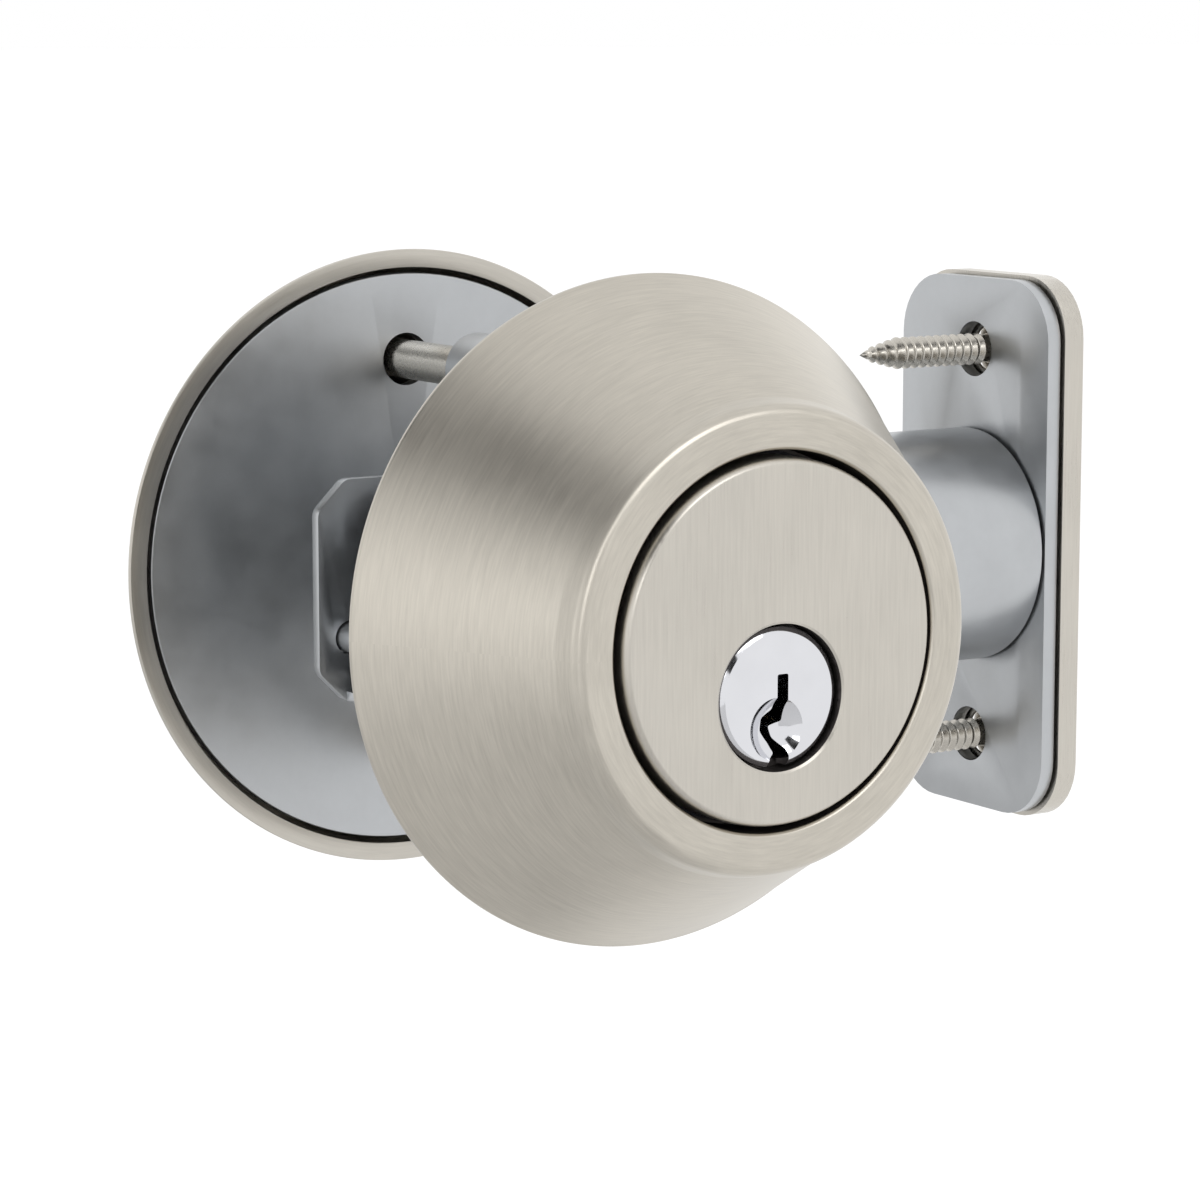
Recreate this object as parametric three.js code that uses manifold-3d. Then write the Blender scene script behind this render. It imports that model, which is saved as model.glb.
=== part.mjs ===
// Single-cylinder deadbolt door lock, in millimetres, placed as it sits in a door.
//
// Frame: the origin is the centre of the guard collar's rim, on the door's outside face.
// +X points to the door's edge, where the bolt comes out, +Y through the door to the inside, +Z up.
// The bolt is drawn back, the turn piece stands upright and the pins are at the shear line.

import * as THREE from 'three';
import { mergeVertices } from 'three/addons/utils/BufferGeometryUtils.js';
import Module from 'manifold-3d';

const wasm = await Module();
wasm.setup();

// ---------------------------------------------------------------- driving dimensions

const DOOR = 44.45;            // door thickness
const BACKSET = 60.3;          // door edge to the lock's axis
const THROW = 25.4;            // bolt travel
const AXIS_DROP = 4.9;         // the keyed axis lies this far below the collar's axis
const MID = DOOR / 2;          // the bolt case is centred in the door's thickness
const GAP = 0.3;               // room left between pieces that rest on each other
const FINE = 40;               // sides on the large round pieces
const COARSE = 12;             // sides on the small ones

const COLLAR_R = 31.75;        // guard collar, 63.5 mm across its rim
const COLLAR_H = 21.5;
const COLLAR_LIP = 0.7;        // short straight wall at the rim
const COLLAR_NOSE_R = 21.45;   // where the cone meets the rounded nose
const COLLAR_NOSE_Y = -19.75;
const COLLAR_FLAT_R = 20;      // outer edge of the flat front ring
const COLLAR_BORE_R = 17.25;   // recess that the cylinder's head sits in
const COLLAR_LEDGE_Y = -16.2;  // floor of that recess
const COLLAR_SLEEVE_R = 15;
const COLLAR_WEB_Y = -12.2;    // back of the collar's front wall
const COLLAR_SHELL_R = 22.9;   // inside of the cone at that depth
const COLLAR_RIM_R = 28.4;     // inside of the rim

const HEAD_R = 16.4;           // cylinder head, the round face with the key plug
const HEAD_FRONT = -COLLAR_H - 0.6;
const HEAD_BACK = -17.4;
const BARREL_R = 14.6;
const BARREL_END = 6.5;

const PLUG_HEAD_R = 6.3;
const PLUG_BEVEL = 0.45;       // round the plug's face
const DISH_R = 2.85;           // dish round the keyway
const DISH_ARC = 3.7;          // radius of its round floor
const DISH_AT = [-0.25, -2.85];
const PLUG_POCKET_R = 6.8;
const PLUG_R = 5.9;
const PLUG_BORE_R = 6.05;
const PLUG_SINK = 0.4;         // plug face behind the head's face
const PLUG_FRONT = HEAD_FRONT + PLUG_SINK;
const PLUG_HEAD_LEN = 2;
const PLUG_END = 6.7;
const LOST_MOTION = 90;        // degrees that the turn piece can turn with the plug still

const PIN_COUNT = 5;
const PIN_PITCH = 3.96;
const FIRST_PIN_Y = -14.6;
const CHAMBER_R = 1.6;
const CHAMBER_FLOOR = -1.4;    // above the plug's axis
const PIN_R = 1.43;
const KEY_PIN_TOP = 5.7;       // above the plug's axis, just inside the plug's surface
const DRIVER_FOOT = 6.1;       // just outside it
const DRIVER_LEN = 4.8;
const KEY_PIN_LENGTHS = [4.6, 5.4, 4.2, 5.8, 5.0];
const CAP_FLOOR = 13.65;       // underside of the strip that closes the pin chambers

const POST_Z = 20.5;           // through screws above and below the case
const POST_R = 3.7;
const POST_PLATE_Y = [6.8, 8.8];
const POST_END = 31;
const TAPPED_R = 2.3;
const THROUGH_SCREW_R = 2.1;
const CYLINDER_SCREW_AT = [11, 2];

const BLADE = [1.5, 4];        // tailpiece, thickness by width
const BLADE_SLOT = [1.8, 4.3];
const BLADE_END = 55;

const CASE_TOP = 10.9;         // half height of the case plates
const CASE_IN = 4.9;           // half of the clear width between them
const CASE_OUT = 6.1;
const CASE_X = [-20, 17.7];
const TUBE_X = [18, 55.7];
const TUBE_R = [11.3, 12.3];
const HUB_R = 5.5;
const HUB_JOURNAL_R = 5;
const FORK_REACH = 20;
const DRIVE_PIN_R = 1.6;
const DRIVE_LEVER = THROW / 2; // drive pin's height above the hub, so a quarter turn gives the throw

const BOLT_SIZE = [13.5, 20.5];
const BOLT_CORNER = 5;
const BOLT_X = [22, BACKSET + 0.5];
const TAIL_Z = [2.6, 10];
const TAIL_HALF = 1.4;
const TAIL_X = [-16, 33.5];
const TAIL_RIVETS_X = [26, 31];
const TAIL_RIVET_Z = 6.3;
const ROLLER_R = 3.2;
const ROLLER_Z = -4.6;

const FACE_SIZE = [25.4, 57.15];
const FACE_CORNER = 6.35;
const FACE_X = [BACKSET - 2.4, BACKSET];
const BACKING_X = [56, 57.6];
const FACE_SCREW_Z = 20.6;

const ROSE_FRONT = DOOR + 9.85;
const ROSE_WALL = 1.6;
const TURN_SHAFT_R = 6;
const TURN_BOSS_R = 9.5;
const TURN_BOSS_Y = [ROSE_FRONT + 0.35, ROSE_FRONT + 2.5];
const TURN_HALF = 3.6;         // half thickness of the turn piece's paddle
const TURN_TIP_Y = 73;
const CLIP_Y = [50.8, 51.5];

// ---------------------------------------------------------------- materials

function metal(color, roughness, metalness = 1) {
  return new THREE.MeshStandardMaterial({ color, roughness, metalness });
}
const satinNickel = metal(0xc7c2b8, 0.38);
const polishedChrome = metal(0xe2e4ea, 0.08);
const brass = metal(0xc9a45a, 0.35);
const zincSteel = metal(0xa9abae, 0.45);
const springSteel = metal(0x8e9196, 0.3);
const hardSteel = metal(0x5d6063, 0.4);
const nylon = metal(0xe9e6dc, 0.6, 0);

// ---------------------------------------------------------------- shapes

const v2 = (points) => points.map(([x, y]) => new THREE.Vector2(x, y));
const rad = THREE.MathUtils.degToRad;

// A profile of [radius, y] points turned about the Y axis. It starts and ends on the axis.
function turned(profile, sides = FINE) {
  return new THREE.LatheGeometry(v2(profile), sides);
}

// A closed profile of [radius, y] points that stays off the axis.
function turnedRing(profile, sides = FINE) {
  return turned([...profile, profile[0]], sides);
}

function rod(radius, y0, y1, sides = COARSE, endRadius = radius) {
  return new THREE.CylinderGeometry(endRadius, radius, y1 - y0, sides).translate(0, (y0 + y1) / 2, 0);
}

function block(x0, x1, y0, y1, z0, z1) {
  const centre = [(x0 + x1) / 2, (y0 + y1) / 2, (z0 + z1) / 2];
  return new THREE.BoxGeometry(x1 - x0, y1 - y0, z1 - z0).translate(...centre);
}

// An outline drawn in X and Z, made solid between two places along Y.
function plateXZ(shape, y0, y1, sides = 8) {
  const settings = { depth: y1 - y0, bevelEnabled: false, curveSegments: sides };
  const made = new THREE.ExtrudeGeometry(shape, settings);
  return made.rotateX(Math.PI / 2).translate(0, y1, 0);
}

// An outline drawn in Y and Z, made solid between two places along X.
const YZ_TO_X = new THREE.Matrix4().makeBasis(
  new THREE.Vector3(0, 1, 0), new THREE.Vector3(0, 0, 1), new THREE.Vector3(1, 0, 0));
function plateYZ(shape, x0, x1, sides = 6) {
  const settings = { depth: x1 - x0, bevelEnabled: false, curveSegments: sides };
  const made = new THREE.ExtrudeGeometry(shape, settings);
  return made.applyMatrix4(YZ_TO_X).translate(x0, 0, 0);
}

function roundedRect(width, height, corner) {
  const [w, h] = [width / 2, height / 2];
  const shape = new THREE.Shape();
  shape.moveTo(-w + corner, -h);
  shape.absarc(w - corner, -h + corner, corner, -Math.PI / 2, 0);
  shape.absarc(w - corner, h - corner, corner, 0, Math.PI / 2);
  shape.absarc(-w + corner, h - corner, corner, Math.PI / 2, Math.PI);
  shape.absarc(-w + corner, -h + corner, corner, Math.PI, 1.5 * Math.PI);
  return shape;
}

const alongX = (geometry) => geometry.rotateZ(-Math.PI / 2);
const alongZ = (geometry) => geometry.rotateX(Math.PI / 2);

// ---------------------------------------------------------------- joining and cutting

function toSolid(geometry) {
  const bare = geometry.clone();
  bare.deleteAttribute('normal');
  bare.deleteAttribute('uv');
  const merged = mergeVertices(bare, 1e-4);
  return new wasm.Manifold(new wasm.Mesh({
    numProp: 3,
    vertProperties: merged.attributes.position.array,
    triVerts: new Uint32Array(merged.index.array),
  }));
}

function toGeometry(solid) {
  const mesh = solid.getMesh();
  const made = new THREE.BufferGeometry();
  made.setAttribute('position', new THREE.BufferAttribute(new Float32Array(mesh.vertProperties), 3));
  made.setIndex(new THREE.BufferAttribute(new Uint32Array(mesh.triVerts), 1));
  made.computeVertexNormals();
  return made;
}

function cut(geometry, tools) {
  return toGeometry(tools.reduce((solid, tool) => solid.subtract(toSolid(tool)), toSolid(geometry)));
}

function join(first, ...others) {
  return toGeometry(others.reduce((solid, other) => solid.add(toSolid(other)), toSolid(first)));
}

// ---------------------------------------------------------------- the assembly

const lock = new THREE.Group();
const keyedAxis = new THREE.Group();   // the plug, the tailpiece, the crank and the turn piece
keyedAxis.position.z = -AXIS_DROP;
lock.add(keyedAxis);

function add(name, geometry, material, parent = lock) {
  const mesh = new THREE.Mesh(geometry, material);
  mesh.name = name;
  parent.add(mesh);
  return mesh;
}

// ---------------------------------------------------------------- screws

function crossRecess(across, floor, top) {
  const [half, blade] = [across / 2, across / 9];
  return [
    block(-half, half, floor, top, -blade, blade),
    block(-blade, blade, floor, top, -half, half),
  ];
}

// A countersunk machine screw on the Y axis. Its head is at y = top, and it points to -Y.
function countersunkScrew(headR, shankR, top, tip) {
  const cone = headR - shankR;
  const body = turned([
    [0, tip], [shankR - 0.5, tip], [shankR, tip + 0.5], [shankR, top - 0.4 - cone],
    [headR, top - 0.4], [headR - 0.2, top - 0.15], [headR * 0.6, top], [0, top],
  ], 16);
  return cut(body, crossRecess(headR * 1.2, top - 1.4, top + 1));
}

// A pan head screw on the Y axis. The underside of its head is at y = seat, and it points to -Y.
function panScrew(headR, headH, shankR, seat, tip, sides = COARSE) {
  const body = turned([
    [0, tip], [shankR, tip], [shankR, seat], [headR, seat], [headR, seat + headH * 0.55],
    [headR * 0.75, seat + headH], [0, seat + headH],
  ], sides);
  return cut(body, crossRecess(headR * 1.1, seat + headH * 0.4, seat + headH + 1));
}

// ---------------------------------------------------------------- outside: collar and cylinder

function guardCollar() {
  const nose = [];
  for (let i = 0; i <= 4; i++) {
    const a = rad(22.5 * i);
    nose.push([
      COLLAR_FLAT_R + (COLLAR_NOSE_R - COLLAR_FLAT_R) * Math.cos(a),
      COLLAR_NOSE_Y - (COLLAR_H + COLLAR_NOSE_Y) * Math.sin(a),
    ]);
  }
  return turnedRing([
    [COLLAR_R, 0], [COLLAR_RIM_R, 0], [COLLAR_RIM_R, -2], [COLLAR_SHELL_R, COLLAR_WEB_Y],
    [COLLAR_SLEEVE_R, COLLAR_WEB_Y], [COLLAR_SLEEVE_R, COLLAR_LEDGE_Y],
    [COLLAR_BORE_R, COLLAR_LEDGE_Y], [COLLAR_BORE_R, -COLLAR_H + 0.35], [COLLAR_BORE_R + 0.35, -COLLAR_H],
    ...nose.reverse(), [COLLAR_R, -COLLAR_LIP],
  ]);
}

// Three shallow waves hold the collar against the door and let it spin.
function waveWasher() {
  const made = turnedRing([[15.3, -17.05], [16.9, -17.05], [16.9, -16.6], [15.3, -16.6]], 30);
  const at = made.attributes.position;
  for (let i = 0; i < at.count; i++) {
    at.setY(i, at.getY(i) + 0.12 * Math.sin(3 * Math.atan2(at.getZ(i), at.getX(i))));
  }
  return made;
}

function pinY(i) {
  return FIRST_PIN_Y + PIN_PITCH * i;
}

const pinNumbers = [...Array(PIN_COUNT).keys()];

function cylinderBody() {
  const body = turned([
    [0, HEAD_FRONT], [HEAD_R - 0.4, HEAD_FRONT], [HEAD_R, HEAD_FRONT + 0.4], [HEAD_R, HEAD_BACK],
    [BARREL_R, HEAD_BACK], [BARREL_R, BARREL_END], [0, BARREL_END],
  ]);
  const pocketFloor = PLUG_FRONT + PLUG_HEAD_LEN + GAP;
  const [screwX, screwZ] = CYLINDER_SCREW_AT;
  return cut(body, [
    rod(PLUG_BORE_R, HEAD_FRONT - 1, BARREL_END + 1, FINE).translate(0, 0, -AXIS_DROP),
    rod(PLUG_POCKET_R, HEAD_FRONT - 1, pocketFloor, FINE).translate(0, 0, -AXIS_DROP),
    rod(PLUG_POCKET_R + 0.6, HEAD_FRONT - 0.3, HEAD_FRONT + 0.3, FINE, PLUG_POCKET_R)
      .translate(0, 0, -AXIS_DROP),
    ...pinNumbers.map((i) => alongZ(rod(CHAMBER_R, 0, BARREL_R + 2)).translate(0, pinY(i), 0)),
    block(-2.3, 2.3, HEAD_BACK + 0.1, 3.2, CAP_FLOOR - GAP, BARREL_R + 2),
    ...[-1, 1].map((side) => rod(1.5, -5, BARREL_END + 1).translate(side * screwX, 0, screwZ)),
  ]);
}

// The keyway, drawn in X and Z about the plug's axis: a straight slot above, a groove on the left
// with a ward across from it, and a wide mouth through the plug's underside.
const KEYWAY = [
  [-0.18, 2.1], [-0.18, -1.2], [-1.2, -1.9], [-1.3, -3.1], [-0.55, -4.2], [-0.2, -5.1], [-1.05, -5.6],
  [-1.1, -7], [1.1, -7], [1.1, -4.85], [0, -3.8], [-0.3, -2.75], [1, -2.35], [1, 2.1],
];

// The round dish in the plug's face that leads the key in.
function keyDish() {
  const depthAt = (r) => Math.sqrt(DISH_ARC ** 2 - r ** 2) - Math.sqrt(DISH_ARC ** 2 - DISH_R ** 2);
  const bowl = [1, 0.8, 0.55, 0.3, 0].map((part) => [DISH_R * part, PLUG_FRONT + depthAt(DISH_R * part)]);
  const tool = turned([[0, PLUG_FRONT - 0.1], [DISH_R, PLUG_FRONT - 0.1], ...bowl], 24);
  return tool.translate(DISH_AT[0], 0, DISH_AT[1]);
}

// The tailpiece's lug swings in this bow-tie recess, so it can turn a quarter turn by itself.
function lostMotionRecess() {
  const outer = 3.95;
  const slack = 20.8;
  const ends = (from) => [from - slack, from + LOST_MOTION + slack];
  const at = (radius, degrees) => [radius * Math.sin(rad(degrees)), radius * Math.cos(rad(degrees))];
  const outline = [];
  for (const from of [0, 180]) {
    const [a, b] = ends(from);
    for (let i = 0; i <= 8; i++) outline.push(at(outer, a + ((b - a) * i) / 8));
    outline.push(at(1.98, from + 135));
  }
  return new THREE.Shape(v2(outline));
}

const RETAINER_SCREW_AT = [2.97, -2.97];

function plug() {
  const body = turned([
    [0, PLUG_FRONT], [PLUG_HEAD_R - PLUG_BEVEL, PLUG_FRONT], [PLUG_HEAD_R, PLUG_FRONT + PLUG_BEVEL],
    [PLUG_HEAD_R, PLUG_FRONT + PLUG_HEAD_LEN], [PLUG_R, PLUG_FRONT + PLUG_HEAD_LEN],
    [PLUG_R, PLUG_END], [0, PLUG_END],
  ]);
  const [screwX, screwZ] = RETAINER_SCREW_AT;
  return cut(body, [
    plateXZ(new THREE.Shape(v2(KEYWAY)), PLUG_FRONT - 1, PLUG_END + 1),
    keyDish(),
    ...pinNumbers.map((i) => alongZ(rod(CHAMBER_R, CHAMBER_FLOOR, PLUG_R + 2)).translate(0, pinY(i), 0)),
    plateXZ(lostMotionRecess(), 3.9, PLUG_END + 1),
    ...[-1, 1].map((side) => rod(0.8, 2.8, PLUG_END + 1, 10).translate(side * screwX, 0, side * screwZ)),
  ]);
}

function keyPin(length) {
  return alongZ(turned([
    [0, -length], [0.5, -length + 0.12], [PIN_R, -length + 0.95], [PIN_R, -0.15], [PIN_R - 0.15, 0],
    [0, 0],
  ], COARSE));
}

function driverPin() {
  return alongZ(turned([
    [0, 0], [PIN_R - 0.2, 0], [PIN_R, 0.2], [PIN_R, DRIVER_LEN - 0.2], [PIN_R - 0.2, DRIVER_LEN],
    [0, DRIVER_LEN],
  ], COARSE));
}

class Helix extends THREE.Curve {
  constructor(radius, height, turns) {
    super();
    Object.assign(this, { radius, height, turns });
  }
  getPoint(t, target = new THREE.Vector3()) {
    const a = 2 * Math.PI * this.turns * t;
    return target.set(this.radius * Math.cos(a), this.radius * Math.sin(a), this.height * t);
  }
}

function pinSpring(height) {
  const wire = 0.2;
  const section = new THREE.Shape(new THREE.EllipseCurve(0, 0, wire, wire).getPoints(4).slice(0, 4));
  const path = new Helix(1.1, height - 2 * wire, 4);
  return new THREE.ExtrudeGeometry(section, { steps: 28, extrudePath: path, bevelEnabled: false })
    .translate(0, 0, wire);
}

function plugRetainer() {
  const [screwX, screwZ] = RETAINER_SCREW_AT;
  const ring = turnedRing([[2.4, 6.95], [8, 6.95], [8, 7.95], [2.4, 7.95]], 24);
  return cut(ring, [-1, 1].map((side) => rod(0.95, 6, 9, 10).translate(side * screwX, 0, side * screwZ)));
}

// A cross bar that the plug pushes, and a flat blade that reaches through the case to the turn piece.
function tailpiece() {
  const [thick, wide] = BLADE;
  return join(
    block(-1.1, 1.1, 4.1, 6.4, -3.7, 3.7),
    block(-thick / 2, thick / 2, 5, BLADE_END, -wide / 2, wide / 2),
  );
}

function postPlate() {
  const radius = 14.4;
  const centre = 10.3;
  const outline = new THREE.Shape();
  outline.absarc(0, centre, radius, 0, Math.PI);
  outline.absarc(0, -centre, radius, Math.PI, 2 * Math.PI);
  const [y0, y1] = POST_PLATE_Y;
  const [screwX, screwZ] = CYLINDER_SCREW_AT;
  return cut(plateXZ(outline, y0, y1, 12), [
    rod(8.6, y0 - 1, y1 + 1, 24).translate(0, 0, -AXIS_DROP),
    ...[-1, 1].map((side) => rod(1.8, y0 - 1, y1 + 1).translate(side * screwX, 0, screwZ)),
    ...[-1, 1].map((side) => rod(2.9, y0 - 1, y1 + 1).translate(0, 0, side * POST_Z)),
  ]);
}

function post() {
  const [y0, y1] = POST_PLATE_Y;
  return turned([
    [0, y0 + 0.1], [2.6, y0 + 0.1], [2.6, y1 + GAP], [POST_R, y1 + GAP], [POST_R, POST_END - 0.4],
    [POST_R - 0.4, POST_END], [TAPPED_R, POST_END], [TAPPED_R, 14], [0, 14],
  ], 16);
}

add('guard_collar', guardCollar(), satinNickel);
add('wave_washer', waveWasher(), springSteel);
add('cylinder_body', cylinderBody(), satinNickel);
add('plug', plug(), polishedChrome, keyedAxis);

const springFoot = DRIVER_FOOT + DRIVER_LEN + 0.15;
const springTop = CAP_FLOOR + AXIS_DROP - 0.15;
for (const i of pinNumbers) {
  const n = i + 1;
  add(`key_pin_${n}`, keyPin(KEY_PIN_LENGTHS[i]), brass, keyedAxis).position.set(0, pinY(i), KEY_PIN_TOP);
  add(`driver_pin_${n}`, driverPin(), brass, keyedAxis).position.set(0, pinY(i), DRIVER_FOOT);
  add(`pin_spring_${n}`, pinSpring(springTop - springFoot), springSteel, keyedAxis)
    .position.set(0, pinY(i), springFoot);
}
add('chamber_cap', block(-2.1, 2.1, HEAD_BACK + 0.4, 2.9, CAP_FLOOR, CAP_FLOOR + 0.7), brass);
add('plug_retainer', plugRetainer(), brass, keyedAxis);
for (const [name, side] of [['retainer_screw_1', 1], ['retainer_screw_2', -1]]) {
  const [screwX, screwZ] = RETAINER_SCREW_AT;
  add(name, panScrew(1.55, 0.9, 0.6, 8.2, 3.2, 10), zincSteel, keyedAxis)
    .position.set(side * screwX, 0, side * screwZ);
}
add('tailpiece', tailpiece(), zincSteel, keyedAxis);
add('post_plate', postPlate(), zincSteel);
for (const [place, side] of [['upper', 1], ['lower', -1]]) {
  add(`post_${place}`, post(), zincSteel).position.z = side * POST_Z;
}
for (const [place, side] of [['left', -1], ['right', 1]]) {
  const [screwX, screwZ] = CYLINDER_SCREW_AT;
  add(`cylinder_screw_${place}`, panScrew(2.9, 1.9, 1.3, POST_PLATE_Y[1] + GAP, -4), zincSteel)
    .position.set(side * screwX, 0, screwZ);
}

// ---------------------------------------------------------------- the bolt and its case

function boltOutline(grow) {
  return roundedRect(BOLT_SIZE[0] + 2 * grow, BOLT_SIZE[1] + 2 * grow, BOLT_CORNER + grow);
}

function facePlate() {
  const [x0, x1] = FACE_X;
  const plate = plateYZ(roundedRect(...FACE_SIZE, FACE_CORNER), x0, x1);
  return cut(plate, [
    plateYZ(boltOutline(0.35), x0 - 1, x1 + 1),
    ...[-1, 1].flatMap((side) => [
      alongX(rod(2.4, x0 - 1, x1 + 1, 16)).translate(0, 0, side * FACE_SCREW_Z),
      alongX(rod(2.4, x1 - 2.1, x1 + 0.2, 16, 5.2)).translate(0, 0, side * FACE_SCREW_Z),
    ]),
  ]);
}

function backingPlate() {
  const [x0, x1] = BACKING_X;
  const plate = plateYZ(roundedRect(FACE_SIZE[0] - 0.8, FACE_SIZE[1] - 0.8, FACE_CORNER), x0, x1, 4);
  return cut(plate, [
    plateYZ(boltOutline(0.6), x0 - 1, x1 + 1, 4),
    ...[-1, 1].map((side) => alongX(rod(2.9, x0 - 1, x1 + 1)).translate(0, 0, side * FACE_SCREW_Z)),
  ]);
}

function caseTube() {
  const [inner, outer] = TUBE_R;
  const [x0, x1] = TUBE_X;
  return alongX(turnedRing([[inner, x0], [outer, x0], [outer, x1], [inner, x1]], 32));
}

const RIVETS_AT = [[-16.5, -4.6], [14, -7.3]];

// One flat side of the case. Its front tab sits inside the tube.
function casePlateOutline() {
  const [x0, x1] = CASE_X;
  const tab = 8.6;
  const tabEnd = BOLT_X[0] - 0.6;
  return new THREE.Shape(v2([
    [x0 + 3, -CASE_TOP], [x1, -CASE_TOP], [x1, -tab], [tabEnd, -tab], [tabEnd, tab], [x1, tab],
    [x1, CASE_TOP], [x0 + 3, CASE_TOP], [x0, CASE_TOP - 3], [x0, -CASE_TOP + 3],
  ]));
}

function casePlate(y0, y1) {
  return cut(plateXZ(casePlateOutline(), y0, y1), [
    rod(HUB_JOURNAL_R + 0.2, y0 - 1, y1 + 1, 24).translate(0, 0, -AXIS_DROP),
    ...RIVETS_AT.map(([x, z]) => rod(1.7, y0 - 1, y1 + 1).translate(x, 0, z)),
  ]);
}

// The plate on the inside of the door carries the two feet that close the case below.
function casePlateInner() {
  const foot = (x0, x1) => block(x0, x1, -CASE_IN + GAP, CASE_IN + 0.2, -CASE_TOP, -CASE_TOP + 1);
  return join(casePlate(CASE_IN, CASE_OUT), foot(CASE_X[0] + 3, -8.5), foot(8, CASE_X[1]));
}

function caseRivet() {
  const [seat, top] = [CASE_OUT + 0.15, CASE_OUT + 1];
  return turned([
    [0, -top], [1.6, -top], [2.5, -seat - 0.3], [2.5, -seat], [1.5, -seat],
    [1.5, seat], [2.5, seat], [2.5, seat + 0.3], [1.6, top], [0, top],
  ], COARSE);
}

// The pin runs along a straight line DRIVE_LEVER above the hub, in proportion to the turn, so it
// strays sideways in the fork. This is the slot that it sweeps: one side, as [across, up the arm].
function forkSlotSide() {
  const room = DRIVE_PIN_R + 0.3;
  const perRadian = THROW / (Math.PI / 2);
  const places = [...Array(41).keys()].map((k) => {
    const x = (DRIVE_LEVER * k) / 40;
    const reach = Math.hypot(x, DRIVE_LEVER);
    const stray = Math.atan2(x, DRIVE_LEVER) - x / perRadian;
    return [reach * Math.sin(stray), reach * Math.cos(stray)];
  });
  const halfWidth = (up) => Math.max(...places.map(([across, along]) => (
    Math.abs(up - along) < room ? across + Math.sqrt(room ** 2 - (up - along) ** 2) : 0)));
  const floor = DRIVE_LEVER - room;
  const top = DRIVE_LEVER * Math.SQRT2;
  const side = [[0.8, floor]];
  for (let up = floor + 0.4; up < top; up += 0.7) side.push([halfWidth(up), up]);
  return [...side, [halfWidth(top), FORK_REACH + 1]];
}

function crank() {
  const arm = new THREE.Shape(v2([
    [-HUB_R, 0], [-5.2, 12], [-4.6, FORK_REACH], [4.6, FORK_REACH], [5.2, 12], [HUB_R, 0],
  ]));
  const right = forkSlotSide();
  const left = right.map(([x, z]) => [-x, z]).reverse();
  const [thick, wide] = BLADE_SLOT;
  const hub = turned([
    [0, -CASE_OUT], [HUB_JOURNAL_R, -CASE_OUT], [HUB_JOURNAL_R, -CASE_IN + 0.2], [HUB_R, -CASE_IN + 0.2],
    [HUB_R, CASE_IN - 0.2], [HUB_JOURNAL_R, CASE_IN - 0.2], [HUB_JOURNAL_R, CASE_OUT], [0, CASE_OUT],
  ], 24);
  const fork = cut(plateXZ(arm, -4.3, -1.8), [plateXZ(new THREE.Shape(v2([...right, ...left])), -5, -1)]);
  const upright = cut(join(hub, fork), [
    // two flats, a quarter turn apart, that the leaf spring rests on
    ...[180, 270].map((turn) => block(-6, 6, -1.5, 6, HUB_R - 0.5, HUB_R + 2).rotateY(rad(turn))),
  ]);
  return cut(upright.rotateY(rad(-45)), [block(-thick / 2, thick / 2, -8, 8, -wide / 2, wide / 2)]);
}

function bolt() {
  const [x0, x1] = BOLT_X;
  const bar = plateYZ(boltOutline(0), x0, x1 - 0.8);
  const nose = plateYZ(boltOutline(0), 0, 0.8);
  const at = nose.attributes.position;
  for (let i = 0; i < at.count; i++) {   // chamfered front edge
    const shrink = 1 - 0.05 * (at.getX(i) / 0.8);
    at.setXYZ(i, at.getX(i) + x1 - 0.8, at.getY(i) * shrink, at.getZ(i) * shrink);
  }
  return cut(join(bar, nose), [
    block(x0 - 1, TAIL_X[1] + GAP, -TAIL_HALF - 0.2, TAIL_HALF + 0.2, TAIL_Z[0] - GAP, BOLT_SIZE[1]),
    alongX(rod(ROLLER_R + 0.3, x0 - 1, x1 - 3.2, 20)).translate(0, 0, ROLLER_Z),
    ...TAIL_RIVETS_X.map((x) => rod(1.45, -8, 8, 12).translate(x, 0, TAIL_RIVET_Z)),
  ]);
}

function tailBar() {
  const [x0, x1] = TAIL_X;
  const [z0, z1] = TAIL_Z;
  const outline = new THREE.Shape(v2([
    [x0 + 1.5, z0], [x1, z0], [x1, z1], [x0 + 1.5, z1], [x0, z1 - 1.5], [x0, z0 + 1.5],
  ]));
  return cut(plateXZ(outline, -TAIL_HALF, TAIL_HALF), [
    rod(DRIVE_PIN_R + 0.15, -3, 3).translate(-DRIVE_LEVER, 0, DRIVE_LEVER - AXIS_DROP),
    ...TAIL_RIVETS_X.map((x) => rod(1.45, -3, 3, 12).translate(x, 0, TAIL_RIVET_Z)),
  ]);
}

function drivePin() {
  return turned([
    [0, -4.4], [DRIVE_PIN_R - 0.2, -4.4], [DRIVE_PIN_R, -4.2], [DRIVE_PIN_R, TAIL_HALF + 0.2],
    [2.6, TAIL_HALF + 0.2], [2.6, TAIL_HALF + 0.9], [2.1, TAIL_HALF + 1.2], [0, TAIL_HALF + 1.2],
  ], 16);
}

// A leaf spring under the crank that holds it at either end of its turn.
function detentLeaf() {
  const line = [[-16.6, -8.85], [-11.5, -8.6], [-6.4, -6.2], [-5.95, -4.9], [-6.3, -3.4], [-7.1, -2.4]];
  const thick = 0.5;
  const other = line.map(([x, z], i) => {
    const [a, b] = [line[Math.max(i - 1, 0)], line[Math.min(i + 1, line.length - 1)]];
    const length = Math.hypot(b[0] - a[0], b[1] - a[1]);
    return [x - (thick * (b[1] - a[1])) / length, z + (thick * (b[0] - a[0])) / length];
  });
  return plateXZ(new THREE.Shape(v2([...line, ...other.reverse()])), 0.4, 4.2);
}

// A wood screw on the X axis that points to -X, with its countersunk head at the faceplate's front.
function faceScrew() {
  const top = BACKSET - 0.1;
  const body = turned([
    [0, 41], [0.9, 43.5], [1.7, 46], [1.7, top - 2.2], [4.1, top - 0.3], [3.9, top], [0, top],
  ], 16);
  return alongX(cut(body, crossRecess(4.6, top - 1.3, top + 1)));
}

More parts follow.
